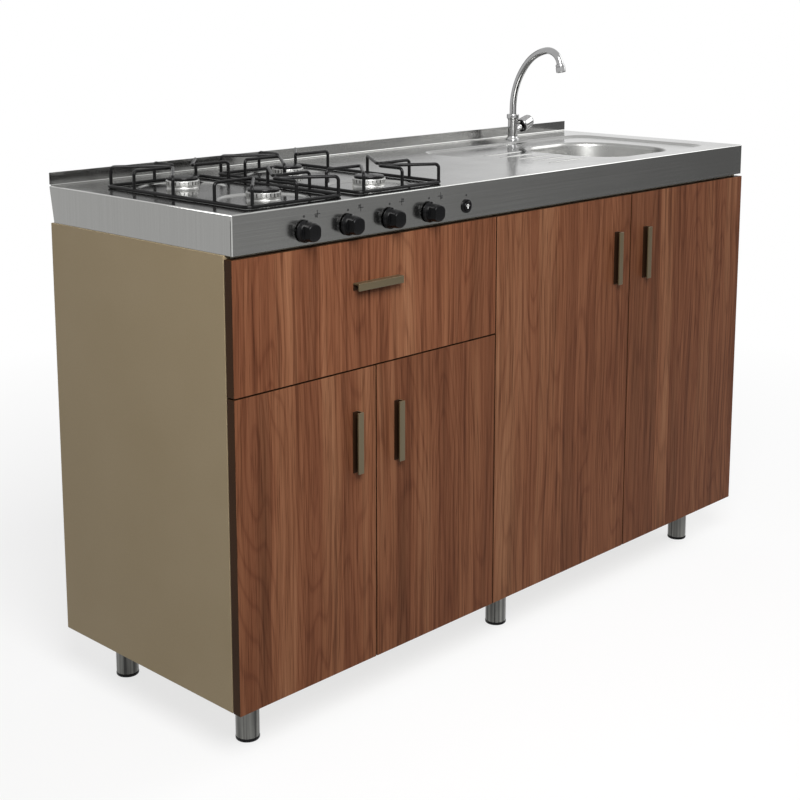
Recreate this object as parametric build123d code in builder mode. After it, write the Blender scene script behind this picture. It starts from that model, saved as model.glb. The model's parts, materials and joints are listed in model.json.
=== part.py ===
from build123d import *
import os
from math import cos, radians, sin

os.makedirs("parts", exist_ok=True)

# A free-standing kitchen unit: cabinet, folded steel worktop, gas hob, sink and tap.
# Millimetres. X runs along the front, Y from front to back, Z up from the floor.
# The origin is on the floor, in the middle of the unit's length and of its full depth.

# Worktop: one folded steel sheet
worktop_width = 1500.0
worktop_depth = 510.0
worktop_height = 940.0
sheet = 1.2
apron_height = 66.0
apron_slant = 11.0
bend_radius = 2.5
corner_slit = 1.0
corner_slit_length = 52.0
upstand_height = 23.5

# Cabinet boards
board = 15.0
back_board = 3.0
side_proud = 3.0
apron_gap = 6.0
rear_overhang = 5.0
left_module_width = 641.0
rail_height = 40.0
drawer_rail_depth = 60.0
batten_inset = 45.0
batten_lap = 23.0
shelf_height = 360.0
shelf_setback = 60.0
shelf_clearance = 0.5
shelf_pin_radius = 2.5
shelf_pin_depth = 8.0
shelf_pin_inset = 40.0

# Doors and drawer front
door_thickness = 18.0
door_proud = 1.0
door_seat = 2.0
door_reveal = 2.5
drawer_front_height = 224.0

# Bar handles
handle_length = 110.0
handle_width = 13.0
handle_plate = 3.5
handle_web = 3.0
handle_reach = 15.0
handle_base = 2.0
handle_edge_inset = 50.0
handle_top_inset = 73.0
handle_round = 1.0

# Cup hinges, measured from the hinged edge and from the front of the door
hinge_end_inset = 90.0
cup_inset = 22.0
cup_radius = 17.5
cup_wall = 1.5
cup_depth = 13.0
cup_floor = 1.0
cup_rim = 1.2
cup_rim_width = 1.5
cup_ear_height = 64.0
cup_ear_width = 13.0
link_tip = 14.0
link_bar = 24.0
link_thickness = 3.0
link_height = 8.0
link_hook = 13.0
link_length = 62.0
arm_wall = 2.0
arm_setback = 3.0
arm_length = 58.0
arm_plate = 2.0
arm_plate_height = 52.0
slide_clearance = 0.3

# Drawer box and its runners
drawer_board = 12.0
drawer_bottom_board = 3.0
drawer_depth = 430.0
drawer_side_height = 120.0
drawer_lift = 15.0
runner_space = 13.0
runner_height = 35.0
runner_lift = 36.0
runner_metal = 1.2
runner_flange = 9.0
runner_length = 430.0
runner_setback = 5.0

# Legs
leg_height = 100.0
leg_radius = 21.0
leg_wall = 1.2
leg_plate = 2.5
leg_plate_side = 62.0
leg_end_inset = 86.0
leg_front_inset = 66.0
foot_height = 6.0
foot_rim = 0.5
foot_plug = 12.0
screw_radius = 2.0
screw_length = 12.0
screw_head_radius = 4.0
screw_head = 1.6
screw_inset = 8.0
fixing_clearance = 0.1

# Hob: burners, counted from the left end and the front edge of the worktop
burner_left_inset = 158.0
burner_spacing = 250.0
burner_front_inset = 107.0
burner_rows = 220.0
well_radius = 80.0
well_draft = 5.0
well_depth = 3.0
burner_neck_radius = 28.0
burner_hole_gap = 1.5
burner_neck_rise = 4.0
cup_flange_radius = 44.0
cup_flange = 3.0
burner_cup_radius = 34.0
burner_cup_depth = 46.0
burner_cup_wall = 3.0
inlet_boss_radius = 7.0
inlet_boss_reach = 40.0
crown_radius = 30.0
crown_bore = 20.0
crown_height = 12.0
crown_slots = 24
crown_slot_width = 2.4
crown_slot_depth = 6.0
crown_slot_height = 7.0
cap_radius = 27.0
cap_height = 6.0
cap_round = 2.0
spark_radius = 2.5
spark_reach = 39.0
spark_below = 14.0
spark_above = 12.0

# Hob: pan grates of bent wire
grate_width = 210.0
grate_length = 386.0
grate_wire = 3.0
grate_ring_wire = 3.2
grate_corner = 14.0
grate_height = 33.0
grate_bend = 7.0
grate_tip_bend = 5.0
grate_tip_reach = 21.0
grate_corner_post = 10.0
grate_clearance = 0.3

# Hob: gas line, knobs and ignition on the front apron
knob_left_inset = 152.0
knob_pitch = 100.0
knob_drop = 43.0
knob_gap = 2.0
knob_length = 26.0
knob_radius = 19.0
knob_skirt = 6.0
knob_grip_radius = 16.5
knob_grip_taper = 4.0
knob_flat = 12.0
knob_flat_depth = 14.0
stem_radius = 4.0
stem_in_knob = 16.0
stem_in_valve = 28.0
stem_clearance = 0.05
apron_hole_gap = 3.0
valve_width = 22.0
valve_depth = 30.0
valve_height = 24.0
valve_setback = 14.0
valve_nose_radius = 6.5
manifold_radius = 7.0
manifold_rise = 21.0
manifold_boss_radius = 5.0
manifold_end = 25.0
manifold_bend = 30.0
gas_inlet_inset = 50.0
gas_inlet_radius = 8.0
gas_inlet_length = 25.0
gas_inlet_rear = 12.0
pipe_radius = 4.0
pipe_bend = 14.0
pipe_run = 32.0
pipe_jog_start = 10.0
pipe_jog_end = 34.0
button_radius = 8.7
button_length = 17.0
button_stand = 5.0
button_clearance = 0.3
button_round = 1.0
bezel_radius = 13.0
bezel_rim = 3.0
bezel_wall = 1.5
bezel_depth = 10.0
spark_box_width = 30.0
spark_box_depth = 60.0
spark_box_height = 40.0
spark_box_drop = 8.0
spark_box_setback = 45.0

# Sink: pressed area, drainboard and bowl, counted from the right end and the front edge
recess_right_inset = 62.0
recess_front_inset = 45.0
recess_width = 578.0
recess_length = 373.0
recess_corner = 45.0
recess_depth = 4.0
ridge_count = 5
ridge_pitch = 44.0
ridge_length = 130.0
ridge_width = 9.0
ridge_height = 2.0
ridge_bowl_gap = 16.0
bowl_right_inset = 150.0
bowl_front_inset = 64.0
bowl_width = 268.0
bowl_length = 276.0
bowl_corner = 100.0
bowl_depth = 150.0
bowl_draft = 6.0
bowl_floor_round = 24.0
bowl_flange = 12.0
drain_radius = 34.0
drain_flange_radius = 42.0
drain_flange = 1.5
drain_wall = 1.5
drain_cup_depth = 24.0
drain_pipe_radius = 19.0
drain_pipe_length = 62.0
drain_nut_radius = 46.0
drain_nut_height = 8.0

# Tap, counted from the right end and the back edge
tap_right_inset = 272.0
tap_rear_inset = 58.0
tap_base_radius = 16.0
tap_base_height = 4.0
tap_body_radius = 11.5
tap_body_height = 50.0
tap_collar_radius = 14.5
tap_collar_height = 10.0
tap_shank_radius = 10.0
tap_shank_length = 30.0
tap_inlet_radius = 8.0
tap_inlet_length = 25.0
tap_bore = 6.0
tap_hole_gap = 0.5
tap_nut_radius = 17.0
tap_nut_height = 9.0
spout_radius = 8.0
spout_wall = 1.2
spout_socket = 20.0
spout_rise = 13.0
spout_first_bend = 160.0
spout_first_turn = 42.0
spout_second_bend = 95.0
spout_second_turn = 38.0
spout_third_bend = 36.0
spout_third_turn = 90.0
aerator_radius = 11.0
aerator_length = 19.0
aerator_lap = 9.0
handle_axis_height = 20.0
handle_tilt = 20.0
bonnet_radius = 9.5
bonnet_reach = 29.0
tap_spindle_radius = 4.0
tap_spindle_depth = 12.0
tap_handle_radius = 16.5
tap_handle_length = 37.0
tap_handle_draft = 2.5
tap_handle_flutes = 10
tap_flute_radius = 3.0
tap_handle_gap = 0.4
tap_ring = 3.0
tap_ring_width = 3.0

# Planes and edges that follow from the sizes
left = -worktop_width / 2
right = worktop_width / 2
knob_reach = knob_gap + knob_length
front = (knob_reach - worktop_depth) / 2
back = front + worktop_depth
top = worktop_height
under_sheet = top - sheet
apron_bottom = top - apron_height
door_front = front - door_proud
door_back = door_front + door_thickness
carcass_left = left - side_proud
carcass_right = right + side_proud
carcass_front = door_back + door_seat
carcass_back = back - rear_overhang
carcass_top = apron_bottom - apron_gap
carcass_bottom = leg_height
floor_top = carcass_bottom + board
back_face = carcass_back - back_board
split = carcass_left + left_module_width
left_inner = carcass_left + board
right_inner = carcass_right - board
partition_left = split - board / 2
partition_right = split + board / 2
drawer_front_bottom = carcass_top - drawer_front_height
left_door_top = drawer_front_bottom - door_reveal
drawer_split = drawer_front_bottom - door_reveal / 2

# Places of repeated pieces
leg_columns = (carcass_left + leg_end_inset, (left + right) / 2, carcass_right - leg_end_inset)
leg_rows = (carcass_front + leg_front_inset, carcass_back - leg_front_inset)
leg_places = [(x, y) for x in leg_columns for y in leg_rows]
screw_offset = leg_plate_side / 2 - screw_inset
screw_places = [
    (x + i * screw_offset, y + j * screw_offset) for x, y in leg_places for i in (-1, 1) for j in (-1, 1)
]
shelf_pin_rows = (carcass_front + shelf_setback + shelf_pin_inset, back_face - shelf_pin_inset)
shelf_pin_level = shelf_height - shelf_pin_radius
burner_columns = (left + burner_left_inset, left + burner_left_inset + burner_spacing)
burner_lines = (front + burner_front_inset, front + burner_front_inset + burner_rows)
burner_places = [(x, y) for x in burner_columns for y in burner_lines]
well_floor = top - well_depth
knob_level = top - knob_drop
knob_columns = [left + knob_left_inset + i * knob_pitch for i in range(4)]
button_column = left + knob_left_inset + 4 * knob_pitch
valve_front = front + valve_setback
valve_rear = valve_front + valve_depth
bowl_centre = (right - bowl_right_inset - bowl_width / 2, front + bowl_front_inset + bowl_length / 2)
recess_centre = (right - recess_right_inset - recess_width / 2, front + recess_front_inset + recess_length / 2)
recess_floor = top - recess_depth
bowl_rim = recess_floor - sheet
tap_place = (right - tap_right_inset, back - tap_rear_inset)


def block(x, y, z, mode=Mode.ADD):
    """A box between two limits along each axis, in the part being built."""
    with Locations((sum(x) / 2, sum(y) / 2, sum(z) / 2)):
        Box(abs(x[1] - x[0]), abs(y[1] - y[0]), abs(z[1] - z[0]), mode=mode)


def rod(start, direction, radius, length, mode=Mode.ADD):
    """A round bar from a point along a direction, in the part being built."""
    with Locations(Plane(origin=start, z_dir=direction)):
        Cylinder(radius, length, align=(Align.CENTER, Align.CENTER, Align.MIN), mode=mode)


def keep(piece, name):
    """Label a finished piece and write it to its own file."""
    piece.part.label = name
    export_step(piece.part, f"parts/{name}.step")


# Cabinet boards
with BuildPart() as left_side_panel:
    block((carcass_left, left_inner), (carcass_front, carcass_back), (carcass_bottom, carcass_top))
    for y in shelf_pin_rows:
        pin_hole = shelf_pin_radius + fixing_clearance
        rod((left_inner, y, shelf_pin_level), (-1, 0, 0), pin_hole, shelf_pin_depth, Mode.SUBTRACT)
keep(left_side_panel, "left_side_panel")

with BuildPart() as right_side_panel:
    block((right_inner, carcass_right), (carcass_front, carcass_back), (carcass_bottom, carcass_top))
keep(right_side_panel, "right_side_panel")

with BuildPart() as partition_panel:
    block((partition_left, partition_right), (carcass_front, carcass_back), (carcass_bottom, carcass_top))
    for y in shelf_pin_rows:
        pin_hole = shelf_pin_radius + fixing_clearance
        rod((partition_left, y, shelf_pin_level), (1, 0, 0), pin_hole, shelf_pin_depth, Mode.SUBTRACT)
keep(partition_panel, "partition_panel")

with BuildPart() as floor_panels:
    for x in ((left_inner, partition_left), (partition_right, right_inner)):
        block(x, (carcass_front, back_face), (carcass_bottom, floor_top))
    for x, y in screw_places:
        pilot = screw_radius + fixing_clearance
        rod((x, y, carcass_bottom), (0, 0, 1), pilot, screw_length, Mode.SUBTRACT)
keep(floor_panels, "floor_panels")

with BuildPart() as back_panels:
    for x in ((left_inner, partition_left), (partition_right, right_inner)):
        block(x, (back_face, carcass_back), (carcass_bottom, carcass_top))
keep(back_panels, "back_panels")

# Rails across each module, the rail under the drawer, and the battens that carry the worktop
with BuildPart() as carcass_rails:
    for x in ((left_inner, partition_left), (partition_right, right_inner)):
        block(x, (carcass_front, carcass_front + board), (carcass_top - rail_height, carcass_top))
        block(x, (back_face - board, back_face), (carcass_top - rail_height, carcass_top))
    block(
        (left_inner, partition_left),
        (carcass_front, carcass_front + drawer_rail_depth),
        (drawer_split - board / 2, drawer_split + board / 2),
    )
    for x in (
        (left_inner, left_inner + board),
        (partition_right, partition_right + board),
        (right_inner - board, right_inner),
    ):
        block(x, (front + batten_inset, back - batten_inset), (carcass_top - batten_lap, under_sheet))
keep(carcass_rails, "carcass_rails")

with BuildPart() as shelf:
    block(
        (left_inner + shelf_clearance, partition_left - shelf_clearance),
        (carcass_front + shelf_setback, back_face),
        (shelf_height, shelf_height + board),
    )
keep(shelf, "shelf")

# Legs: plate under the floor, steel tube and a plastic foot with a plug in the tube
leg_tube_top = carcass_bottom - leg_plate
with BuildPart() as leg_plates:
    for x, y in leg_places:
        with Locations((x, y, leg_tube_top)):
            Box(leg_plate_side, leg_plate_side, leg_plate, align=(Align.CENTER, Align.CENTER, Align.MIN))
    for x, y in screw_places:
        rod((x, y, leg_tube_top), (0, 0, 1), screw_radius + fixing_clearance, leg_plate, Mode.SUBTRACT)
keep(leg_plates, "leg_plates")

with BuildPart() as leg_tubes:
    for x, y in leg_places:
        rod((x, y, foot_height), (0, 0, 1), leg_radius, leg_tube_top - foot_height)
        rod((x, y, foot_height), (0, 0, 1), leg_radius - leg_wall, leg_tube_top - foot_height, Mode.SUBTRACT)
keep(leg_tubes, "leg_tubes")

with BuildPart() as leg_feet:
    for x, y in leg_places:
        rod((x, y, 0), (0, 0, 1), leg_radius + foot_rim, foot_height)
        rod((x, y, foot_height), (0, 0, 1), leg_radius - leg_wall - fixing_clearance, foot_plug)
keep(leg_feet, "leg_feet")

# Small fixings: leg screws, shelf pins and the nut under the tap
with BuildPart() as carcass_fixings:
    for x, y in screw_places:
        rod((x, y, leg_tube_top - screw_head), (0, 0, 1), screw_head_radius, screw_head)
        rod((x, y, leg_tube_top), (0, 0, 1), screw_radius, screw_length)
    for y in shelf_pin_rows:
        pin_length = 2 * shelf_pin_depth
        rod((left_inner - shelf_pin_depth, y, shelf_pin_level), (1, 0, 0), shelf_pin_radius, pin_length)
        rod((partition_left + shelf_pin_depth, y, shelf_pin_level), (-1, 0, 0), shelf_pin_radius, pin_length)
    with BuildSketch(Plane.XY.offset(under_sheet)):
        with Locations(tap_place):
            RegularPolygon(tap_nut_radius, 6)
            Circle(tap_shank_radius + fixing_clearance, mode=Mode.SUBTRACT)
    extrude(amount=-tap_nut_height)
keep(carcass_fixings, "carcass_fixings")

# Worktop: a tray with rounded bends, open below and behind, with an upstand along the back
with BuildPart() as tray_space:
    block((left + sheet, right - sheet), (front + sheet, back + sheet), (apron_bottom - sheet, under_sheet))
    inner_bends = tray_space.faces().sort_by(Axis.Z)[-1].edges().sort_by(Axis.Y)[:-1]
    fillet(inner_bends, bend_radius - sheet)

with BuildPart() as worktop:
    block((left, right), (front, back), (apron_bottom, top))
    outer_bends = worktop.faces().sort_by(Axis.Z)[-1].edges().sort_by(Axis.Y)[:-1]
    fillet(outer_bends, bend_radius)
    add(tray_space.part, mode=Mode.SUBTRACT)
    block((left, right), (back - sheet, back), (under_sheet, top + upstand_height))
    # The side aprons end on a slant at the back.
    with BuildSketch(Plane.YZ):
        with BuildLine():
            Polyline(
                (back, under_sheet),
                (back, apron_bottom),
                (back - apron_slant, apron_bottom),
                close=True,
            )
        make_face()
    extrude(amount=right, both=True, mode=Mode.SUBTRACT)
    # A slit is left at each front corner, where the two aprons meet.
    for x in (left, right):
        block(
            (x - 2 * sheet, x + 2 * sheet),
            (front + bend_radius, front + bend_radius + corner_slit),
            (apron_bottom, apron_bottom + corner_slit_length),
            Mode.SUBTRACT,
        )
    # Round wells pressed in under the burners, with their holes
    for x, y in burner_places:
        with Locations((x, y, top)):
            Cone(
                well_radius - well_draft + sheet,
                well_radius + sheet,
                well_depth + sheet,
                align=(Align.CENTER, Align.CENTER, Align.MAX),
            )
            Cone(
                well_radius - well_draft,
                well_radius,
                well_depth,
                align=(Align.CENTER, Align.CENTER, Align.MAX),
                mode=Mode.SUBTRACT,
            )
        hole = burner_neck_radius + burner_hole_gap
        rod((x, y, top), (0, 0, -1), hole, well_depth + sheet, Mode.SUBTRACT)
        spark_hole = spark_radius + fixing_clearance
        rod((x, y + spark_reach, top), (0, 0, -1), spark_hole, well_depth + sheet, Mode.SUBTRACT)
    # Pressed sink area, its drainboard ridges and the mouth of the bowl
    with BuildSketch(Plane.XY.offset(top)):
        with Locations(recess_centre):
            RectangleRounded(recess_width + 2 * sheet, recess_length + 2 * sheet, recess_corner + sheet)
    extrude(amount=-(recess_depth + sheet))
    with BuildSketch(Plane.XY.offset(top)):
        with Locations(recess_centre):
            RectangleRounded(recess_width, recess_length, recess_corner)
    extrude(amount=-recess_depth, mode=Mode.SUBTRACT)
    ridge_centre = bowl_centre[0] - bowl_width / 2 - ridge_bowl_gap - ridge_length / 2
    with BuildSketch(Plane.XY.offset(recess_floor)):
        with Locations((ridge_centre, bowl_centre[1])):
            with GridLocations(ridge_length, ridge_pitch, 1, ridge_count):
                SlotOverall(ridge_length, ridge_width)
    extrude(amount=ridge_height)
    with BuildSketch(Plane.XY.offset(top)):
        with Locations(bowl_centre):
            RectangleRounded(bowl_width, bowl_length, bowl_corner)
    extrude(amount=-(recess_depth + sheet), mode=Mode.SUBTRACT)
    # Holes for the tap, the gas valves and the ignition
    rod((*tap_place, top), (0, 0, -1), tap_shank_radius + tap_hole_gap, sheet, Mode.SUBTRACT)
    for x in knob_columns:
        rod((x, front, knob_level), (0, 1, 0), stem_radius + apron_hole_gap, sheet, Mode.SUBTRACT)
    bezel_barrel = button_radius + button_clearance + bezel_wall
    rod((button_column, front, knob_level), (0, 1, 0), bezel_barrel + fixing_clearance, sheet, Mode.SUBTRACT)
keep(worktop, "worktop")

# Sink bowl: drawn sheet with a flange welded under the worktop
bowl_floor = bowl_rim - bowl_depth
with BuildPart() as bowl_space:
    with BuildSketch(Plane.XY.offset(bowl_rim)):
        with Locations(bowl_centre):
            RectangleRounded(bowl_width, bowl_length, bowl_corner)
    extrude(amount=-bowl_depth, taper=bowl_draft)
    fillet(bowl_space.faces().sort_by(Axis.Z)[0].edges(), bowl_floor_round)

with BuildPart() as sink_bowl:
    with BuildSketch(Plane.XY.offset(bowl_rim)):
        with Locations(bowl_centre):
            RectangleRounded(bowl_width + 2 * sheet, bowl_length + 2 * sheet, bowl_corner + sheet)
    extrude(amount=-(bowl_depth + sheet), taper=bowl_draft)
    fillet(sink_bowl.faces().sort_by(Axis.Z)[0].edges(), bowl_floor_round + sheet)
    with BuildSketch(Plane.XY.offset(bowl_rim)):
        with Locations(bowl_centre):
            RectangleRounded(
                bowl_width + 2 * bowl_flange,
                bowl_length + 2 * bowl_flange,
                bowl_corner + bowl_flange,
            )
    extrude(amount=-sheet)
    add(bowl_space.part, mode=Mode.SUBTRACT)
    rod((*bowl_centre, bowl_floor), (0, 0, -1), drain_radius + fixing_clearance, 2 * sheet, Mode.SUBTRACT)
keep(sink_bowl, "sink_bowl")

# Sink drain: a turned strainer cup with its outlet pipe, and the nut that clamps it
with BuildPart() as sink_drain:
    drain_floor = bowl_floor - drain_cup_depth
    drain_plane = Plane(origin=(*bowl_centre, 0), x_dir=(1, 0, 0), z_dir=(0, -1, 0))
    with BuildSketch(drain_plane):
        with BuildLine():
            Polyline(
                (drain_flange_radius, bowl_floor),
                (drain_flange_radius, bowl_floor + drain_flange),
                (drain_radius - drain_wall, bowl_floor + drain_flange),
                (drain_radius - drain_wall, drain_floor + drain_wall),
                (drain_pipe_radius - drain_wall, drain_floor + drain_wall),
                (drain_pipe_radius - drain_wall, drain_floor - drain_pipe_length),
                (drain_pipe_radius, drain_floor - drain_pipe_length),
                (drain_pipe_radius, drain_floor),
                (drain_radius, drain_floor),
                (drain_radius, bowl_floor),
                close=True,
            )
        make_face()
    revolve(axis=Axis((*bowl_centre, 0), (0, 0, 1)))
    with BuildSketch(Plane.XY.offset(bowl_floor - sheet)):
        with Locations(bowl_centre):
            RegularPolygon(drain_nut_radius, 8)
            Circle(drain_radius + fixing_clearance, mode=Mode.SUBTRACT)
    extrude(amount=-drain_nut_height)
keep(sink_drain, "sink_drain")

# Burner cups hang under the wells and stand up through their holes.
# Each has a side boss for its gas pipe: from the front, the right, the left or the right.
cup_top = well_floor - sheet
cup_bottom = cup_top - burner_cup_depth
neck_top = well_floor + burner_neck_rise
left_front, left_rear, right_front, right_rear = burner_places
inlets = (
    (left_front, (0, -1, 0), knob_columns[0] - left_front[0]),
    (left_rear, (1, 0, 0), 0),
    (right_front, (-1, 0, 0), 0),
    (right_rear, (1, 0, 0), 0),
)
with BuildPart() as burner_cups:
    for (x, y), direction, sideways in inlets:
        rod((x, y, cup_bottom), (0, 0, 1), burner_cup_radius, burner_cup_depth)
        rod((x, y, cup_top - cup_flange), (0, 0, 1), cup_flange_radius, cup_flange)
        rod((x, y, cup_top), (0, 0, 1), burner_neck_radius, neck_top - cup_top)
        rod((x + sideways, y, knob_level), direction, inlet_boss_radius, inlet_boss_reach)
        bore = burner_neck_radius - burner_cup_wall
        hollow_floor = cup_bottom + burner_cup_wall
        rod((x, y, hollow_floor), (0, 0, 1), bore, neck_top - hollow_floor, Mode.SUBTRACT)
        spark_seat = spark_radius + fixing_clearance
        rod((x, y + spark_reach, cup_top), (0, 0, -1), spark_seat, cup_flange, Mode.SUBTRACT)
keep(burner_cups, "burner_cups")

# Burner crowns with a ring of flame slots, and the flat caps on them
crown_top = neck_top + crown_height
with BuildPart() as burner_crowns:
    for x, y in burner_places:
        rod((x, y, neck_top), (0, 0, 1), crown_radius, crown_height)
        rod((x, y, neck_top), (0, 0, 1), crown_bore, crown_height, Mode.SUBTRACT)
        with Locations((x, y, crown_top)):
            with PolarLocations(crown_radius, crown_slots):
                Box(
                    2 * crown_slot_depth,
                    crown_slot_width,
                    crown_slot_height,
                    align=(Align.CENTER, Align.CENTER, Align.MAX),
                    mode=Mode.SUBTRACT,
                )
keep(burner_crowns, "burner_crowns")

with BuildPart() as burner_caps:
    for x, y in burner_places:
        rod((x, y, crown_top), (0, 0, 1), cap_radius, cap_height)
    fillet(burner_caps.faces().filter_by(Axis.Z).group_by(Axis.Z)[-1].edges(), cap_round)
keep(burner_caps, "burner_caps")

with BuildPart() as spark_electrodes:
    spark_length = spark_below + sheet + spark_above
    for x, y in burner_places:
        rod((x, y + spark_reach, cup_top - spark_below), (0, 0, 1), spark_radius, spark_length)
keep(spark_electrodes, "spark_electrodes")

# Gas line: a manifold over four valves, with its inlet at the back, and a pipe from each valve to its burner
manifold_level = knob_level + manifold_rise
manifold_line = (valve_front + valve_rear) / 2
valve_top = knob_level + valve_height / 2
gas_inlet_column = left + gas_inlet_inset
gas_inlet_end = back - gas_inlet_rear
with BuildPart() as gas_manifold:
    with BuildLine():
        FilletPolyline(
            (knob_columns[3] + manifold_end, manifold_line, manifold_level),
            (gas_inlet_column, manifold_line, manifold_level),
            (gas_inlet_column, gas_inlet_end - gas_inlet_length, manifold_level),
            radius=manifold_bend,
        )
    manifold_start = (knob_columns[3] + manifold_end, manifold_line, manifold_level)
    with BuildSketch(Plane(manifold_start, z_dir=(-1, 0, 0))):
        Circle(manifold_radius)
    sweep()
    inlet_start = (gas_inlet_column, gas_inlet_end - gas_inlet_length, manifold_level)
    rod(inlet_start, (0, 1, 0), gas_inlet_radius, gas_inlet_length)
    for x in knob_columns:
        rod((x, manifold_line, manifold_level), (0, 0, -1), manifold_boss_radius, manifold_level - valve_top)
keep(gas_manifold, "gas_manifold")

with BuildPart() as gas_valves:
    for x in knob_columns:
        valve_x = (x - valve_width / 2, x + valve_width / 2)
        block(valve_x, (valve_front, valve_rear), (knob_level - valve_height / 2, valve_top))
        rod((x, front + sheet, knob_level), (0, 1, 0), valve_nose_radius, valve_setback - sheet)
        bore = stem_radius + stem_clearance
        rod((x, front + sheet, knob_level), (0, 1, 0), bore, stem_in_valve, Mode.SUBTRACT)
keep(gas_valves, "gas_valves")

# The first pipe runs straight back. The others step over beside their burner and turn in to its boss.
pipe_routes = [((knob_columns[0], valve_rear), (knob_columns[0], left_front[1] - inlet_boss_reach))]
for knob_x, (burner, direction, sideways) in zip(knob_columns[1:], inlets[1:]):
    boss_x = burner[0] + direction[0] * inlet_boss_reach
    run_x = boss_x + direction[0] * pipe_run
    pipe_routes.append(
        (
            (knob_x, valve_rear),
            (knob_x, valve_rear + pipe_jog_start),
            (run_x, valve_rear + pipe_jog_end),
            (run_x, burner[1]),
            (boss_x, burner[1]),
        )
    )
with BuildPart() as burner_pipes:
    for route in pipe_routes:
        with BuildLine() as pipe_line:
            points = [(x, y, knob_level) for x, y in route]
            if len(points) > 2:
                FilletPolyline(*points, radius=pipe_bend)
            else:
                Line(*points)
        with BuildSketch(Plane(points[0], z_dir=(0, 1, 0))) as pipe_section:
            Circle(pipe_radius)
        sweep(pipe_section.sketch, path=pipe_line.line)
keep(burner_pipes, "burner_pipes")

# Each valve stem turns in its valve and carries its knob
stem_rear = front + sheet + stem_in_valve - stem_clearance
stem_front = front - knob_gap - stem_in_knob
for number, x in enumerate(knob_columns, start=1):
    with BuildPart() as valve_stem:
        rod((x, stem_front, knob_level), (0, 1, 0), stem_radius, stem_rear - stem_front)
    keep(valve_stem, f"valve_stem_{number}")

    with BuildPart() as knob:
        knob_base = Plane((x, front - knob_gap, knob_level), x_dir=(1, 0, 0), z_dir=(0, -1, 0))
        with BuildSketch(knob_base):
            Circle(knob_radius)
        extrude(amount=knob_skirt)
        with BuildSketch(knob_base.offset(knob_skirt)):
            Circle(knob_grip_radius)
        extrude(amount=knob_length - knob_skirt, taper=knob_grip_taper)
        # Two flats leave an upright grip across the knob's face.
        flat_end = front - knob_gap - knob_length
        for side in (-1, 1):
            block(
                (x + side * knob_flat, x + side * knob_radius),
                (flat_end, flat_end + knob_flat_depth),
                (knob_level - knob_radius, knob_level + knob_radius),
                Mode.SUBTRACT,
            )
        knob_bore = stem_radius + stem_clearance
        rod((x, front - knob_gap, knob_level), (0, -1, 0), knob_bore, stem_in_knob, Mode.SUBTRACT)
    keep(knob, f"knob_{number}")

# Ignition: a bezel through the apron, the push button in it and the spark box on the partition
with BuildPart() as ignition_bezel:
    rod((button_column, front, knob_level), (0, -1, 0), bezel_radius, bezel_rim)
    rod((button_column, front, knob_level), (0, 1, 0), bezel_barrel, bezel_depth)
    button_bore = button_radius + button_clearance
    bezel_front = front - bezel_rim
    rod((button_column, bezel_front, knob_level), (0, 1, 0), button_bore, bezel_rim + bezel_depth, Mode.SUBTRACT)
keep(ignition_bezel, "ignition_bezel")

with BuildPart() as ignition_button:
    rod((button_column, front - button_stand, knob_level), (0, 1, 0), button_radius, button_length)
    fillet(ignition_button.faces().sort_by(Axis.Y)[0].edges(), button_round)
keep(ignition_button, "ignition_button")

with BuildPart() as spark_module:
    spark_box_top = carcass_top - spark_box_drop
    block(
        (partition_left - spark_box_width, partition_left),
        (carcass_front + spark_box_setback, carcass_front + spark_box_setback + spark_box_depth),
        (spark_box_top - spark_box_height, spark_box_top),
    )
keep(spark_module, "spark_module")


# Pan grates: a ring of wire on the worktop, with six bent fingers welded on, three over each burner
def pan_grate(name, centre_x):
    """A wire pan grate over the two burners of one column."""
    centre_y = sum(burner_lines) / 2
    ring_level = top + grate_clearance + grate_ring_wire
    finger_level = ring_level + grate_height
    half_width = grate_width / 2
    half_length = grate_length / 2
    row = burner_rows / 2
    corner = half_width - grate_corner_post
    # Half of the fingers, from one post to the tip and back to the other post. The rest are turned by half a turn.
    fingers = (
        ((-half_width, -row), (-grate_tip_reach, -row), (-corner, -half_length)),
        ((0, -half_length), (0, -row - grate_tip_reach), (corner, -half_length)),
        ((half_width, -row), (grate_tip_reach, -row), (half_width, 0)),
    )
    with BuildPart() as grate:
        with BuildSketch(Plane.XY.offset(ring_level)) as outline:
            with Locations((centre_x, centre_y)):
                RectangleRounded(grate_width, grate_length, grate_corner)
        ring_path = outline.sketch.faces()[0].outer_wire()
        start = ring_path.edges().filter_by(Axis.X).sort_by(Axis.Y)[0]
        with BuildSketch(Plane(start @ 0.5, z_dir=(1, 0, 0))) as ring_section:
            Circle(grate_ring_wire)
        grate_ring = sweep(ring_section.sketch, path=ring_path, mode=Mode.PRIVATE)
        add(grate_ring)
        for turn in (1, -1):
            for first, tip, last in fingers:
                feet = [(centre_x + turn * px, centre_y + turn * py) for px, py in (first, tip, last)]
                with BuildLine() as finger_line:
                    FilletPolyline(
                        (*feet[0], ring_level),
                        (*feet[0], finger_level),
                        (*feet[1], finger_level),
                        (*feet[2], finger_level),
                        (*feet[2], ring_level),
                        radius=(grate_bend, grate_tip_bend, grate_bend),
                    )
                with BuildSketch(Plane((*feet[0], ring_level), z_dir=(0, 0, 1))) as finger_section:
                    Circle(grate_wire)
                sweep(finger_section.sketch, path=finger_line.line)
    keep(grate, name)


pan_grate("left_grate", burner_columns[0])
pan_grate("right_grate", burner_columns[1])

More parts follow.
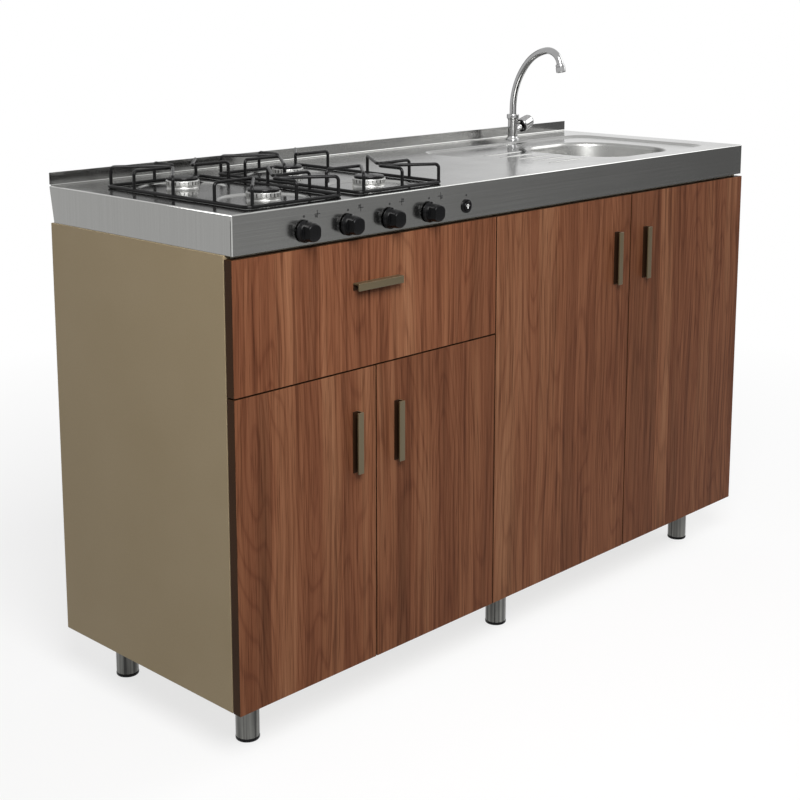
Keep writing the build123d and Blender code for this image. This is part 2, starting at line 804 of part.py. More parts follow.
# Tap: body with its shank, side bonnet and collar
collar_top = top + tap_body_height + tap_collar_height
spout_foot = collar_top - spout_socket
handle_direction = (cos(radians(handle_tilt)), 0, sin(radians(handle_tilt)))
handle_centre = Vector(*tap_place, top + handle_axis_height)
bonnet_end = handle_centre + Vector(*handle_direction) * bonnet_reach
with BuildPart() as tap_body:
    rod((*tap_place, top), (0, 0, 1), tap_base_radius, tap_base_height)
    rod((*tap_place, top), (0, 0, 1), tap_body_radius, tap_body_height)
    rod((*tap_place, collar_top), (0, 0, -1), tap_collar_radius, tap_collar_height)
    rod(handle_centre, handle_direction, bonnet_radius, bonnet_reach)
    rod((*tap_place, top), (0, 0, -1), tap_shank_radius, tap_shank_length)
    rod((*tap_place, collar_top), (0, 0, -1), spout_radius + stem_clearance, spout_socket, Mode.SUBTRACT)
    rod((*tap_place, top - tap_shank_length), (0, 0, -1), tap_inlet_radius, tap_inlet_length)
    inlet_end = top - tap_shank_length - tap_inlet_length
    rod((*tap_place, inlet_end), (0, 0, 1), tap_bore, spout_foot - inlet_end, Mode.SUBTRACT)
    spindle_bore = tap_spindle_radius + stem_clearance
    rod(bonnet_end, -Vector(*handle_direction), spindle_bore, tap_spindle_depth, Mode.SUBTRACT)
keep(tap_body, "tap_body")

# Swan neck: up from the socket, then over towards the front in three arcs
spout_plane = Plane((*tap_place, 0), x_dir=(0, -1, 0), z_dir=(-1, 0, 0))
with BuildPart() as tap_spout:
    with BuildLine(spout_plane) as spout_path:
        straight = Line((0, spout_foot), (0, collar_top + spout_rise))
        first_arc = JernArc(straight @ 1, straight % 1, spout_first_bend, -spout_first_turn)
        second_arc = JernArc(first_arc @ 1, first_arc % 1, spout_second_bend, -spout_second_turn)
        third_arc = JernArc(second_arc @ 1, second_arc % 1, spout_third_bend, -spout_third_turn)
        PolarLine(third_arc @ 1, aerator_lap, direction=third_arc % 1)
    for radius, mode in ((spout_radius, Mode.ADD), (spout_radius - spout_wall, Mode.SUBTRACT)):
        with BuildSketch(Plane((*tap_place, spout_foot), z_dir=(0, 0, 1))) as spout_section:
            Circle(radius)
        sweep(spout_section.sketch, path=spout_path.line, mode=mode)
keep(tap_spout, "tap_spout")

spout_end = spout_path.line @ 1
spout_aim = spout_path.line % 1
with BuildPart() as tap_aerator:
    rod(spout_end - spout_aim * aerator_lap, spout_aim, aerator_radius, aerator_length)
    rod(spout_end - spout_aim * aerator_lap, spout_aim, spout_radius + stem_clearance, aerator_lap, Mode.SUBTRACT)
    rod(spout_end, spout_aim, spout_radius - spout_wall, aerator_length - aerator_lap, Mode.SUBTRACT)
keep(tap_aerator, "tap_aerator")

# The tap's knob turns on its spindle in the bonnet. A black ring sits round its inner end.
handle_aim = Vector(*handle_direction)
handle_start = bonnet_end + handle_aim * tap_handle_gap
grip_start = handle_start + handle_aim * tap_ring
with BuildPart() as tap_handle_ring:
    rod(handle_start, handle_direction, tap_handle_radius - tap_flute_radius / 2, tap_ring)
    ring_bore = tap_handle_radius - tap_flute_radius / 2 - tap_ring_width
    rod(handle_start, handle_direction, ring_bore, tap_ring, Mode.SUBTRACT)

with BuildPart() as tap_handle_grip:
    with BuildSketch(Plane(grip_start, x_dir=(0, 1, 0), z_dir=handle_direction)):
        Circle(tap_handle_radius)
        with PolarLocations(tap_handle_radius + tap_flute_radius / 2, tap_handle_flutes):
            Circle(tap_flute_radius, mode=Mode.SUBTRACT)
    extrude(amount=tap_handle_length - tap_ring, taper=tap_handle_draft)
    spindle_end = bonnet_end - handle_aim * (tap_spindle_depth - tap_handle_gap)
    rod(spindle_end, handle_direction, tap_spindle_radius, tap_spindle_depth + tap_ring)
tap_handle = Compound(label="tap_handle", children=[tap_handle_grip.part, tap_handle_ring.part])
export_step(tap_handle, "parts/tap_handle.step")


# Bar handles: a channel with a front plate, a web along one side and a thin base plate on the door or drawer.
# They stand upright on the doors, open to the left, and lie level on the drawer, open below.
def bar_handle(name, centre_x, centre_z, upright):
    """A bar handle on the front of a door or drawer."""
    plate_front = door_front - handle_reach
    plate_back = plate_front + handle_plate
    web_side = handle_width / 2 - handle_web
    long_span = (-handle_length / 2, handle_length / 2)
    with BuildPart() as handle:
        spans = [
            (long_span, (-handle_width / 2, handle_width / 2), (plate_front, plate_back)),
            (long_span, (web_side, handle_width / 2), (plate_back, door_front)),
            (long_span, (-handle_width / 2, web_side), (door_front - handle_base, door_front)),
        ]
        for along, across, depth in spans:
            x_span, z_span = (across, along) if upright else (along, across)
            block([centre_x + x for x in x_span], depth, [centre_z + z for z in z_span])
        fillet(handle.faces().sort_by(Axis.Y)[0].edges(), handle_round)
    keep(handle, name)


# Drawer: front, box boards, moving slides and the fixed rails they run in
drawer_left = carcass_left
drawer_right = split - door_reveal / 2
with BuildPart() as drawer_front:
    block((drawer_left, drawer_right), (door_front, door_back), (drawer_front_bottom, carcass_top))
keep(drawer_front, "drawer_front")
drawer_handle_level = carcass_top - handle_top_inset - handle_width / 2
bar_handle("drawer_handle", (drawer_left + drawer_right) / 2, drawer_handle_level, upright=False)

box_left = left_inner + runner_space
box_right = partition_left - runner_space
box_rear = door_back + drawer_depth
box_bottom = drawer_split + board / 2 + drawer_lift
box_top = box_bottom + drawer_side_height
with BuildPart() as drawer_frame:
    for x in ((box_left, box_left + drawer_board), (box_right - drawer_board, box_right)):
        block(x, (door_back, box_rear), (box_bottom, box_top))
    block((box_left, box_right), (box_rear - drawer_board, box_rear), (box_bottom, box_top))
with BuildPart() as drawer_floor:
    block((box_left, box_right), (door_back, box_rear), (box_bottom - drawer_bottom_board, box_bottom))
drawer_boards = Compound(label="drawer_boards", children=[drawer_frame.part, drawer_floor.part])
export_step(drawer_boards, "parts/drawer_boards.step")

runner_bottom = box_bottom + runner_lift
runner_top = runner_bottom + runner_height
runner_front = carcass_front + runner_setback
fixed_run = (runner_front, runner_front + runner_length)
with BuildPart() as drawer_runner_rails:
    for wall, side in ((left_inner, 1), (partition_left, -1)):
        block((wall, wall + side * runner_metal), fixed_run, (runner_bottom, runner_top))
        lip = (wall, wall + side * runner_flange)
        block(lip, fixed_run, (runner_bottom, runner_bottom + runner_metal))
        block(lip, fixed_run, (runner_top - runner_metal, runner_top))
keep(drawer_runner_rails, "drawer_runner_rails")

slide_bottom = runner_bottom + runner_metal + slide_clearance
slide_top = runner_top - runner_metal - slide_clearance
with BuildPart() as drawer_slides:
    for wall, side in ((box_left, -1), (box_right, 1)):
        block((wall, wall + side * runner_metal), fixed_run, (slide_bottom, slide_top))
        lip = (wall, wall + side * runner_flange)
        block(lip, fixed_run, (slide_bottom, slide_bottom + runner_metal))
        block(lip, fixed_run, (slide_top - runner_metal, slide_top))
keep(drawer_slides, "drawer_slides")


# Doors: a panel drilled for two cup hinges, its handle, the hinge cups and the hooked links that swing it out
def cabinet_door(name, x_span, z_span, hinged_left):
    """One door with everything that moves with it. Returns the places of its hinges."""
    edge, side = (x_span[0], 1) if hinged_left else (x_span[1], -1)
    cup_x = edge + side * cup_inset
    levels = (z_span[0] + hinge_end_inset, z_span[1] - hinge_end_inset)
    with BuildPart() as panel:
        block(x_span, (door_front, door_back), z_span)
        for z in levels:
            rod((cup_x, door_back, z), (0, -1, 0), cup_radius, cup_depth, Mode.SUBTRACT)
    keep(panel, f"{name}_door")

    free_edge = x_span[1] if hinged_left else x_span[0]
    handle_x = free_edge - side * handle_edge_inset
    bar_handle(f"{name}_door_handle", handle_x, z_span[1] - handle_top_inset - handle_length / 2, upright=True)

    with BuildPart() as cups:
        for z in levels:
            rod((cup_x, door_back, z), (0, -1, 0), cup_radius, cup_depth)
            rod((cup_x, door_back, z), (0, 1, 0), cup_radius + cup_rim_width, cup_rim)
            ear = (cup_x - cup_ear_width / 2, cup_x + cup_ear_width / 2)
            ear_z = (z - cup_ear_height / 2, z + cup_ear_height / 2)
            block(ear, (door_back, door_back + cup_rim), ear_z)
            cavity = cup_radius - cup_wall
            cavity_depth = cup_depth - cup_floor + cup_rim
            rod((cup_x, door_back + cup_rim, z), (0, -1, 0), cavity, cavity_depth, Mode.SUBTRACT)
    keep(cups, f"{name}_hinge_cups")

    hook_front = door_front + link_hook
    with BuildPart() as links:
        for z in levels:
            link_z = (z - link_height / 2, z + link_height / 2)
            hook_x = (edge + side * link_tip, edge + side * (link_bar + link_thickness))
            bar_x = (edge + side * link_bar, edge + side * (link_bar + link_thickness))
            block(hook_x, (hook_front, hook_front + link_thickness), link_z)
            block(bar_x, (hook_front, hook_front + link_length), link_z)
    keep(links, f"{name}_hinge_links")
    return [(edge, side, z) for z in levels]


inner_left = (carcass_left + drawer_right) / 2
right_module_left = split + door_reveal / 2
inner_right = (right_module_left + carcass_right) / 2
half_reveal = door_reveal / 2
left_rows = (carcass_bottom, left_door_top)
right_rows = (carcass_bottom, carcass_top)
hinge_places = [
    *cabinet_door("left_outer", (carcass_left, inner_left - half_reveal), left_rows, hinged_left=True),
    *cabinet_door("left_inner", (inner_left + half_reveal, drawer_right), left_rows, hinged_left=False),
    *cabinet_door("right_inner", (right_module_left, inner_right - half_reveal), right_rows, hinged_left=True),
    *cabinet_door("right_outer", (inner_right + half_reveal, carcass_right), right_rows, hinged_left=False),
]

# Hinge arms: a plate on the board's inner face and a sleeve round each link
with BuildPart() as hinge_arms:
    for edge, side, z in hinge_places:
        walls = (left_inner, partition_left, partition_right, right_inner)
        wall = min(walls, key=lambda place: abs(place - edge - side * board))
        arm_y = (carcass_front + arm_setback, carcass_front + arm_setback + arm_length)
        gap_x = (
            edge + side * (link_bar - slide_clearance),
            edge + side * (link_bar + link_thickness + slide_clearance),
        )
        gap_z = (z - link_height / 2 - slide_clearance, z + link_height / 2 + slide_clearance)
        plate_z = (z - arm_plate_height / 2, z + arm_plate_height / 2)
        block((wall, wall + side * arm_plate), arm_y, plate_z)
        block((wall, gap_x[1] + side * arm_wall), arm_y, (gap_z[0] - arm_wall, gap_z[1] + arm_wall))
        block(gap_x, arm_y, gap_z, Mode.SUBTRACT)
keep(hinge_arms, "hinge_arms")
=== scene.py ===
import bpy
import json
from math import cos, pi, radians, sin
from mathutils import Matrix, Vector


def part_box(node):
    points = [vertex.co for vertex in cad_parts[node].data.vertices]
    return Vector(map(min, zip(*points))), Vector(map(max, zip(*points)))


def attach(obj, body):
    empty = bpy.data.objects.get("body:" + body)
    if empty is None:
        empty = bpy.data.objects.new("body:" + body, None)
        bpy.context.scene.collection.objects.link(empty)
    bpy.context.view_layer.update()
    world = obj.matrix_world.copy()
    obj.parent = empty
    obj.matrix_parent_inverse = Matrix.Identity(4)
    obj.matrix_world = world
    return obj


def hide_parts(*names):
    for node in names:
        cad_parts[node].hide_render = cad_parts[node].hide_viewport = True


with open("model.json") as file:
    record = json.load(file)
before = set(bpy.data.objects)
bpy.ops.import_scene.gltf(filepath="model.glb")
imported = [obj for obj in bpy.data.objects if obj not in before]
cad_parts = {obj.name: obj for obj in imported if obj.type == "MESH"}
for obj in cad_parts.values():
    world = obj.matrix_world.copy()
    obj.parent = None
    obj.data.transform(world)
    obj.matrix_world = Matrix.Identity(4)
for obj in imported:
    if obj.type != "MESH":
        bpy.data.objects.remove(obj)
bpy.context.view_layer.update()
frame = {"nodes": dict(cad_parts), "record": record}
nodes = frame["nodes"]
body_of_node = {node: body for body, held in frame["record"]["behaviour"]["bodies"].items() for node in held}
doors = ("left_outer", "left_inner", "right_inner", "right_outer")

# Pieces are modelled in millimetres and brought to metres when they are finished.
METRE = 1000.0

# A mix node has its own sockets for each kind of value: the numbers of two inputs and of the result
VALUE_A, VALUE_B, MIXED_VALUE = 2, 3, 0
COLOUR_A, COLOUR_B, MIXED_COLOUR = 6, 7, 2


def box_mm(name):
    """Lowest and highest corner of a CAD node, in millimetres."""
    low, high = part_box(name)
    return low * METRE, high * METRE


def linear(hex_code):
    """An sRGB hex colour as linear RGBA."""
    values = [int(hex_code[i:i + 2], 16) / 255 for i in (1, 3, 5)]
    return (*[v / 12.92 if v <= 0.04045 else ((v + 0.055) / 1.055) ** 2.4 for v in values], 1.0)


def grey(value):
    return (value, value, value, 1.0)


def add_node(tree, kind, inputs=None, stops=(), **settings):
    """Add one node with its settings, and set or link its inputs."""
    made = tree.nodes.new(kind)
    for name, value in settings.items():
        setattr(made, name, value)
    for name, value in (inputs or {}).items():
        if isinstance(value, bpy.types.NodeSocket):
            tree.links.new(value, made.inputs[name])
        else:
            made.inputs[name].default_value = value
    if stops:
        elements = made.color_ramp.elements
        while len(elements) < len(stops):
            elements.new(0.5)
        for element, (position, colour) in zip(elements, stops):
            element.position = position
            element.color = colour
    return made


def new_material(name):
    """An empty material, its node tree, its shader and its coordinates in the object's frame."""
    material = bpy.data.materials.new(name)
    material.use_nodes = True
    tree = material.node_tree
    shader = tree.nodes["Principled BSDF"]
    place = add_node(tree, "ShaderNodeTexCoord").outputs["Object"]
    return material, tree, shader, place


# Rolled stainless steel sheet: bright, with reflections drawn out a little along the rolling lines
def rolled_stainless(name, line_scale, dark, light, smooth, matt):
    material, tree, shader, place = new_material(name)
    # The real lines are 0.1 mm apart. They are drawn 1.5 to 2.5 mm apart so that they show.
    lines_place = add_node(tree, "ShaderNodeMapping", {"Vector": place, "Scale": line_scale})
    lines = add_node(
        tree, "ShaderNodeTexNoise", {"Vector": lines_place.outputs["Vector"], "Scale": 1.0, "Detail": 2.0}
    )
    # Wiping leaves soft smears about 150 mm long.
    smears = add_node(tree, "ShaderNodeTexNoise", {"Vector": place, "Scale": 6.5, "Detail": 2.0})
    tone = add_node(
        tree,
        "ShaderNodeValToRGB",
        {"Fac": lines.outputs["Fac"]},
        stops=((0.3, linear(dark)), (0.7, linear(light))),
    )
    gloss = add_node(
        tree,
        "ShaderNodeMapRange",
        {
            "Value": smears.outputs["Fac"],
            "From Min": 0.35,
            "From Max": 0.65,
            "To Min": smooth,
            "To Max": matt,
        },
    )
    shader.inputs["Metallic"].default_value = 1.0
    shader.inputs["Anisotropic"].default_value = 0.3
    tree.links.new(tone.outputs["Color"], shader.inputs["Base Color"])
    tree.links.new(gloss.outputs["Result"], shader.inputs["Roughness"])
    return material


# Walnut laminate: printed paper under satin melamine
def walnut_laminate(name, sheet_shift, depth):
    """Upright staves of uneven tone, arched figure, streaks and pores; each front has its own cut, and its
    tone is scaled by depth, which is painted light.
    """
    material, tree, shader, place = new_material(name)

    # A tone scaled by depth: painted light, which makes some fronts lighter than others and the drawer
    # lightest, as if more light fell on it.
    def tone_with_painted_light(hex_code):
        return (*[value * depth for value in linear(hex_code)[:3]], 1.0)

    cut = add_node(tree, "ShaderNodeMapping", {"Vector": place, "Location": sheet_shift})
    # A slow sway bends the grain by some millimetres over a hand's length.
    sway_place = add_node(
        tree, "ShaderNodeMapping", {"Vector": cut.outputs["Vector"], "Scale": (7.0, 7.0, 1.8)}
    )
    sway = add_node(
        tree, "ShaderNodeTexNoise", {"Vector": sway_place.outputs["Vector"], "Scale": 1.0, "Detail": 2.0}
    )
    swayed = add_node(
        tree,
        "ShaderNodeVectorMath",
        {0: sway.outputs["Color"], 1: (0.035, 0.0, 0.0), 2: cut.outputs["Vector"]},
        operation="MULTIPLY_ADD",
    )
    grain = swayed.outputs["Vector"]
    # Staves are about 50 mm wide and straight-edged.
    across = add_node(tree, "ShaderNodeSeparateXYZ", {"Vector": grain})
    staves = add_node(
        tree, "ShaderNodeTexVoronoi", {"W": across.outputs["X"], "Scale": 20.0}, voronoi_dimensions="1D"
    )
    stave = add_node(tree, "ShaderNodeSeparateColor", {"Color": staves.outputs["Color"]})
    # Tone drifts in bands about 40 mm wide.
    bands_place = add_node(tree, "ShaderNodeMapping", {"Vector": grain, "Scale": (26.0, 26.0, 1.3)})
    bands = add_node(
        tree, "ShaderNodeTexNoise", {"Vector": bands_place.outputs["Vector"], "Scale": 1.0, "Detail": 3.0}
    )
    toned = add_node(
        tree,
        "ShaderNodeMix",
        {"Factor": 0.68, VALUE_A: stave.outputs["Red"], VALUE_B: bands.outputs["Fac"]},
        data_type="FLOAT",
    )
    tone = add_node(
        tree,
        "ShaderNodeValToRGB",
        {"Fac": toned.outputs[MIXED_VALUE]},
        stops=(
            (0.24, tone_with_painted_light("#62402d")),
            (0.42, tone_with_painted_light("#6c4531")),
            (0.56, tone_with_painted_light("#764e38")),
            (0.74, tone_with_painted_light("#835d45")),
        ),
    )
    # Figure: the contour lines of a slow swell, about 8 mm apart, which close into arches
    swell_place = add_node(
        tree, "ShaderNodeMapping", {"Vector": cut.outputs["Vector"], "Scale": (8.0, 8.0, 0.9)}
    )
    swell = add_node(
        tree, "ShaderNodeTexNoise", {"Vector": swell_place.outputs["Vector"], "Scale": 1.0, "Detail": 1.5}
    )
    contour = add_node(tree, "ShaderNodeMath", {0: swell.outputs["Fac"], 1: 170.0}, operation="MULTIPLY")
    arches = add_node(tree, "ShaderNodeMath", {0: contour.outputs["Value"]}, operation="SINE")
    arch_tone = add_node(
        tree,
        "ShaderNodeValToRGB",
        {"Fac": arches.outputs["Value"]},
        stops=((0.0, linear("#fffaf4")), (0.75, linear("#f0e4dc")), (1.0, linear("#c8b4aa"))),
    )
    # Streaks are 7 mm wide and pores 1.5 mm.
    streaks_place = add_node(tree, "ShaderNodeMapping", {"Vector": grain, "Scale": (140.0, 140.0, 2.4)})
    streaks = add_node(
        tree, "ShaderNodeTexNoise", {"Vector": streaks_place.outputs["Vector"], "Scale": 1.0, "Detail": 4.0}
    )
    streak_tone = add_node(
        tree,
        "ShaderNodeValToRGB",
        {"Fac": streaks.outputs["Fac"]},
        stops=((0.3, linear("#a09088")), (0.47, linear("#dfd6cf")), (0.69, linear("#ffffff"))),
    )
    pores_place = add_node(tree, "ShaderNodeMapping", {"Vector": grain, "Scale": (650.0, 650.0, 12.0)})
    pores = add_node(
        tree, "ShaderNodeTexNoise", {"Vector": pores_place.outputs["Vector"], "Scale": 1.0, "Detail": 2.0}
    )
    pore_tone = add_node(
        tree,
        "ShaderNodeValToRGB",
        {"Fac": pores.outputs["Fac"]},
        stops=((0.3, linear("#9c8e85")), (0.45, linear("#ffffff"))),
    )
    # Figure, streaks and pores are printed over the tone, one after the other.
    printed = tone.outputs["Color"]
    for share, layer in ((0.45, arch_tone), (0.8, streak_tone), (0.7, pore_tone)):
        laid = add_node(
            tree,
            "ShaderNodeMix",
            {"Factor": share, COLOUR_A: printed, COLOUR_B: layer.outputs["Color"]},
            data_type="RGBA",
            blend_type="MULTIPLY",
        )
        printed = laid.outputs[MIXED_COLOUR]
    gloss = add_node(
        tree, "ShaderNodeMapRange", {"Value": streaks.outputs["Fac"], "To Min": 0.38, "To Max": 0.5}
    )
    bump = add_node(
        tree, "ShaderNodeBump", {"Height": pores.outputs["Fac"], "Strength": 0.1, "Distance": 0.0003}
    )
    shader.inputs["Specular IOR Level"].default_value = 0.05
    tree.links.new(printed, shader.inputs["Base Color"])
    tree.links.new(gloss.outputs["Result"], shader.inputs["Roughness"])
    tree.links.new(bump.outputs["Normal"], shader.inputs["Normal"])
    return material


def mottled(name, dark, light, grain_mm, rough, bump_strength=0.1, **sockets):
    """A plain finish with a fine grain: two close colours, and roughness and relief that follow it."""
    material, tree, shader, place = new_material(name)
    grain = add_node(tree, "ShaderNodeTexNoise", {"Vector": place, "Scale": METRE / grain_mm, "Detail": 3.0})
    cloud = add_node(tree, "ShaderNodeTexNoise", {"Vector": place, "Scale": 6.0, "Detail": 2.0})
    both_tones = add_node(
        tree, "ShaderNodeMath", {0: grain.outputs["Fac"], 1: cloud.outputs["Fac"]}, operation="ADD"
    )
    half = add_node(tree, "ShaderNodeMath", {0: both_tones.outputs["Value"], 1: 0.5}, operation="MULTIPLY")
    tone = add_node(
        tree,
        "ShaderNodeValToRGB",
        {"Fac": half.outputs["Value"]},
        stops=((0.35, linear(dark)), (0.65, linear(light))),
    )
    gloss = add_node(
        tree,
        "ShaderNodeMapRange",
        {"Value": grain.outputs["Fac"], "To Min": rough - 0.06, "To Max": rough + 0.06},
    )
    bump = add_node(
        tree,
        "ShaderNodeBump",
        {"Height": grain.outputs["Fac"], "Strength": bump_strength, "Distance": 0.0003},
    )
    tree.links.new(tone.outputs["Color"], shader.inputs["Base Color"])
    tree.links.new(gloss.outputs["Result"], shader.inputs["Roughness"])
    tree.links.new(bump.outputs["Normal"], shader.inputs["Normal"])
    for socket, value in sockets.items():
        shader.inputs[socket.replace("_", " ")].default_value = value
    return material


# Rolling lines run along the worktop, and down its side aprons. The side aprons' steel is also made a little
# darker than the top's: painted shade.
lines_along = (3.3, 650.0, 650.0)
lines_down = (650.0, 650.0, 3.3)
stainless = rolled_stainless("rolled_stainless", lines_along, "#9a9a98", "#a2a2a0", 0.13, 0.19)
stainless_side_shaded = rolled_stainless("rolled_stainless_side_painted_shade", lines_down, "#91918f", "#979795", 0.14, 0.2)
# The folds take a lighter steel, a painted highlight that draws a bright line along them, and a smoother
# finish.
stainless_fold_highlight = rolled_stainless("fold_painted_highlight", lines_along, "#b2b2b0", "#bcbcba", 0.1, 0.14)
# The deep-drawn bowl is left satin, so it spreads the light inside.
stainless_satin = rolled_stainless("satin_stainless", (12.0, 400.0, 400.0), "#989896", "#a2a2a0", 0.26, 0.34)
# The last number of each front scales its tone: painted light, lightest on the drawer.
walnuts = {
    "drawer_front": walnut_laminate("walnut_laminate_drawer", (0.0, 0.0, 0.0), 1.16),
    "left_outer_door": walnut_laminate("walnut_laminate_left_outer", (1.31, 0.0, 0.4), 1.08),
    "left_inner_door": walnut_laminate("walnut_laminate_left_inner", (2.57, 0.0, 0.9), 0.99),
    "right_inner_door": walnut_laminate("walnut_laminate_right_inner", (3.83, 0.0, 1.7), 1.01),
    "right_outer_door": walnut_laminate("walnut_laminate_right_outer", (5.2, 0.0, 2.3), 1.04),
}
# Edge band: a thin dark plastic strip ironed on, with a slight orange peel.
edge_band = mottled("dark_edge_band", "#2b1a0f", "#382414", 2.5, 0.46, Specular_IOR_Level=0.06)
# Taupe melamine: an even satin face with a fine pearl.
taupe = mottled("taupe_melamine", "#8b7c61", "#918268", 1.6, 0.42, 0.05, Specular_IOR_Level=0.12)
# Cream melamine inside the carcass, satin and faintly speckled.
cream = mottled("cream_melamine", "#c9bfa8", "#d6cdb8", 1.8, 0.5)
# Hardboard back, pressed fibre on its rear face.
hardboard = mottled("hardboard", "#785a41", "#846448", 2.2, 0.75, 0.3)
# Zinc-plated steel: a grey spangle with a soft shine.
zinc = mottled("zinc_plated_steel", "#8f9294", "#b4b7b8", 6.0, 0.34, 0.05, Metallic=1.0)
# Polished chrome over brass, almost a mirror.
chrome = mottled("polished_chrome", "#9b9b9b", "#a3a3a3", 9.0, 0.1, 0.01, Metallic=1.0)
# Cast aluminium burner crown, fine sand texture.
cast_aluminium = mottled("cast_aluminium", "#9d9d9b", "#bcbcba", 1.2, 0.42, 0.2, Metallic=1.0)
# Drawn aluminium pipe, softly shining.
drawn_aluminium = mottled("drawn_aluminium", "#a9abad", "#bfc1c3", 3.0, 0.3, 0.05, Metallic=1.0)
# Black enamel on wire and caps: fused glass with a wavy gloss.
enamel = mottled("black_enamel", "#060606", "#0b0b0b", 5.0, 0.22, 0.08, Specular_IOR_Level=0.16)
# Moulded black plastic with a fine spark-eroded grain.
black_plastic = mottled(
    "black_moulded_plastic", "#070708", "#0e0e0f", 0.9, 0.26, 0.12, Specular_IOR_Level=0.14
)
# White glazed ceramic of the spark electrodes, glossy.
ceramic = mottled("glazed_ceramic", "#d8d4ca", "#e6e2d8", 3.0, 0.2, 0.05)
# Turned brass valves, warm and bright.
brass = mottled("turned_brass", "#a8843c", "#c6a257", 2.0, 0.3, 0.1, Metallic=1.0)
# Bronze-toned satin paint of the handles, with a fine grain.
bronze = mottled("satin_bronze", "#544a36", "#5e533d", 0.8, 0.32, 0.06, Metallic=0.35, Specular_IOR_Level=0.5)
# Painted shade: a dark brown, almost without shine, on the base plate and inside the handles' channels.
channel_painted_shade = mottled("painted_shade_in_handles", "#20130b", "#2b1b10", 1.5, 0.5, 0.05, Specular_IOR_Level=0.05)
# Printing ink of the control marks, flat.
black_ink = mottled("black_ink", "#101010", "#181818", 1.0, 0.5)
white_ink = mottled("white_ink", "#e4e4e2", "#efefec", 1.0, 0.5)


# Dark chromed tube of the legs: drawing leaves lighter and darker streaks down it, some 7 mm wide
def dark_chrome_tube():
    material, tree, shader, place = new_material("dark_chromed_tube")
    lines_place = add_node(tree, "ShaderNodeMapping", {"Vector": place, "Scale": (150.0, 150.0, 2.5)})
    lines = add_node(
        tree, "ShaderNodeTexNoise", {"Vector": lines_place.outputs["Vector"], "Scale": 1.0, "Detail": 3.0}
    )
    tone = add_node(
        tree,
        "ShaderNodeValToRGB",
        {"Fac": lines.outputs["Fac"]},
        stops=((0.32, linear("#2c2c2a")), (0.68, linear("#8a8a86"))),
    )
    gloss = add_node(
        tree, "ShaderNodeMapRange", {"Value": lines.outputs["Fac"], "To Min": 0.22, "To Max": 0.36}
    )
    shader.inputs["Metallic"].default_value = 0.4
    tree.links.new(tone.outputs["Color"], shader.inputs["Base Color"])
    tree.links.new(gloss.outputs["Result"], shader.inputs["Roughness"])
    return material


leg_chrome = dark_chrome_tube()


# Modelling helpers
def near(value, goal, slack=0.02):
    return abs(value - goal) < slack


def both(test):
    """An edge test that asks both ends of the edge to pass a test."""
    return lambda a, b: test(a) and test(b)


def place_key(centre):
    """A face's centre, rounded so that the face is known again."""
    return tuple(round(value, 3) for value in centre)


def deselect():
    bpy.ops.object.select_all(action="DESELECT")


def only(piece):
    """Make a piece the only one selected, and active."""
    deselect()
    piece.select_set(True)
    bpy.context.view_layer.objects.active = piece


def pick(piece, kind, test):
    """Enter edit mode with only the vertices, edges or faces that pass the test selected."""
    only(piece)
    bpy.ops.object.mode_set(mode="EDIT")
    bpy.ops.mesh.select_mode(type=kind)
    bpy.ops.mesh.select_all(action="DESELECT")
    bpy.ops.object.mode_set(mode="OBJECT")
    mesh = piece.data
    if kind == "VERT":
        for vertex in mesh.vertices:
            vertex.select = bool(test(vertex.co))
    elif kind == "EDGE":
        for edge in mesh.edges:
            edge.select = bool(test(*[mesh.vertices[i].co for i in edge.vertices]))
    else:
        for face in mesh.polygons:
            face.select = bool(test(face.center, face.normal))
    bpy.ops.object.mode_set(mode="EDIT")


def pick_all(piece):
    """Enter edit mode with every face selected."""
    pick(piece, "FACE", lambda centre, normal: True)


def done():
    bpy.ops.object.mode_set(mode="OBJECT")


def settle():
    """Put the active piece's place and size into its mesh."""
    bpy.ops.object.transform_apply(location=True, rotation=True, scale=True)
    return bpy.context.object


def apply_modifier(piece, kind, **settings):
    """Add a modifier to a piece and apply it."""
    only(piece)
    modifier = piece.modifiers.new(kind.lower(), kind)
    for name, value in settings.items():
        setattr(modifier, name, value)
    bpy.ops.object.modifier_apply(modifier=modifier.name)


def soften(piece, width, segments=2, angle=40):
    """Round the edges that are sharper than an angle."""
    apply_modifier(
        piece, "BEVEL", width=width, segments=segments, limit_method="ANGLE", angle_limit=radians(angle)
    )


def cut_away(piece, cutter):
    """Cut a piece with another one, which is used up."""
    apply_modifier(piece, "BOOLEAN", object=cutter, operation="DIFFERENCE", solver="EXACT")
    bpy.data.objects.remove(cutter)


def thicken(piece):
    """Turn a sheet's faces up, and give it its thickness downwards."""
    pick_all(piece)
    bpy.ops.mesh.normals_make_consistent(inside=False)
    done()
    if sum(face.normal.z * face.area for face in piece.data.polygons) < 0:
        pick_all(piece)
        bpy.ops.mesh.flip_normals()
        done()
    apply_modifier(piece, "SOLIDIFY", thickness=sheet, offset=-1.0)


def join(pieces):
    """Join pieces into the first one."""
    deselect()
    for piece in pieces:
        piece.select_set(True)
    bpy.context.view_layer.objects.active = pieces[0]
    bpy.ops.object.join()
    return pieces[0]


def block(low, high):
    """A box between two corners."""
    deselect()
    centre = [(a + b) / 2 for a, b in zip(low, high)]
    size = [b - a for a, b in zip(low, high)]
    bpy.ops.mesh.primitive_cube_add(size=1, location=centre, scale=size)
    return settle()


def ring_of_edges(centre, radius, count):
    """A flat circle of edges."""
    deselect()
    bpy.ops.mesh.primitive_circle_add(vertices=count, radius=radius, location=centre)
    return settle()


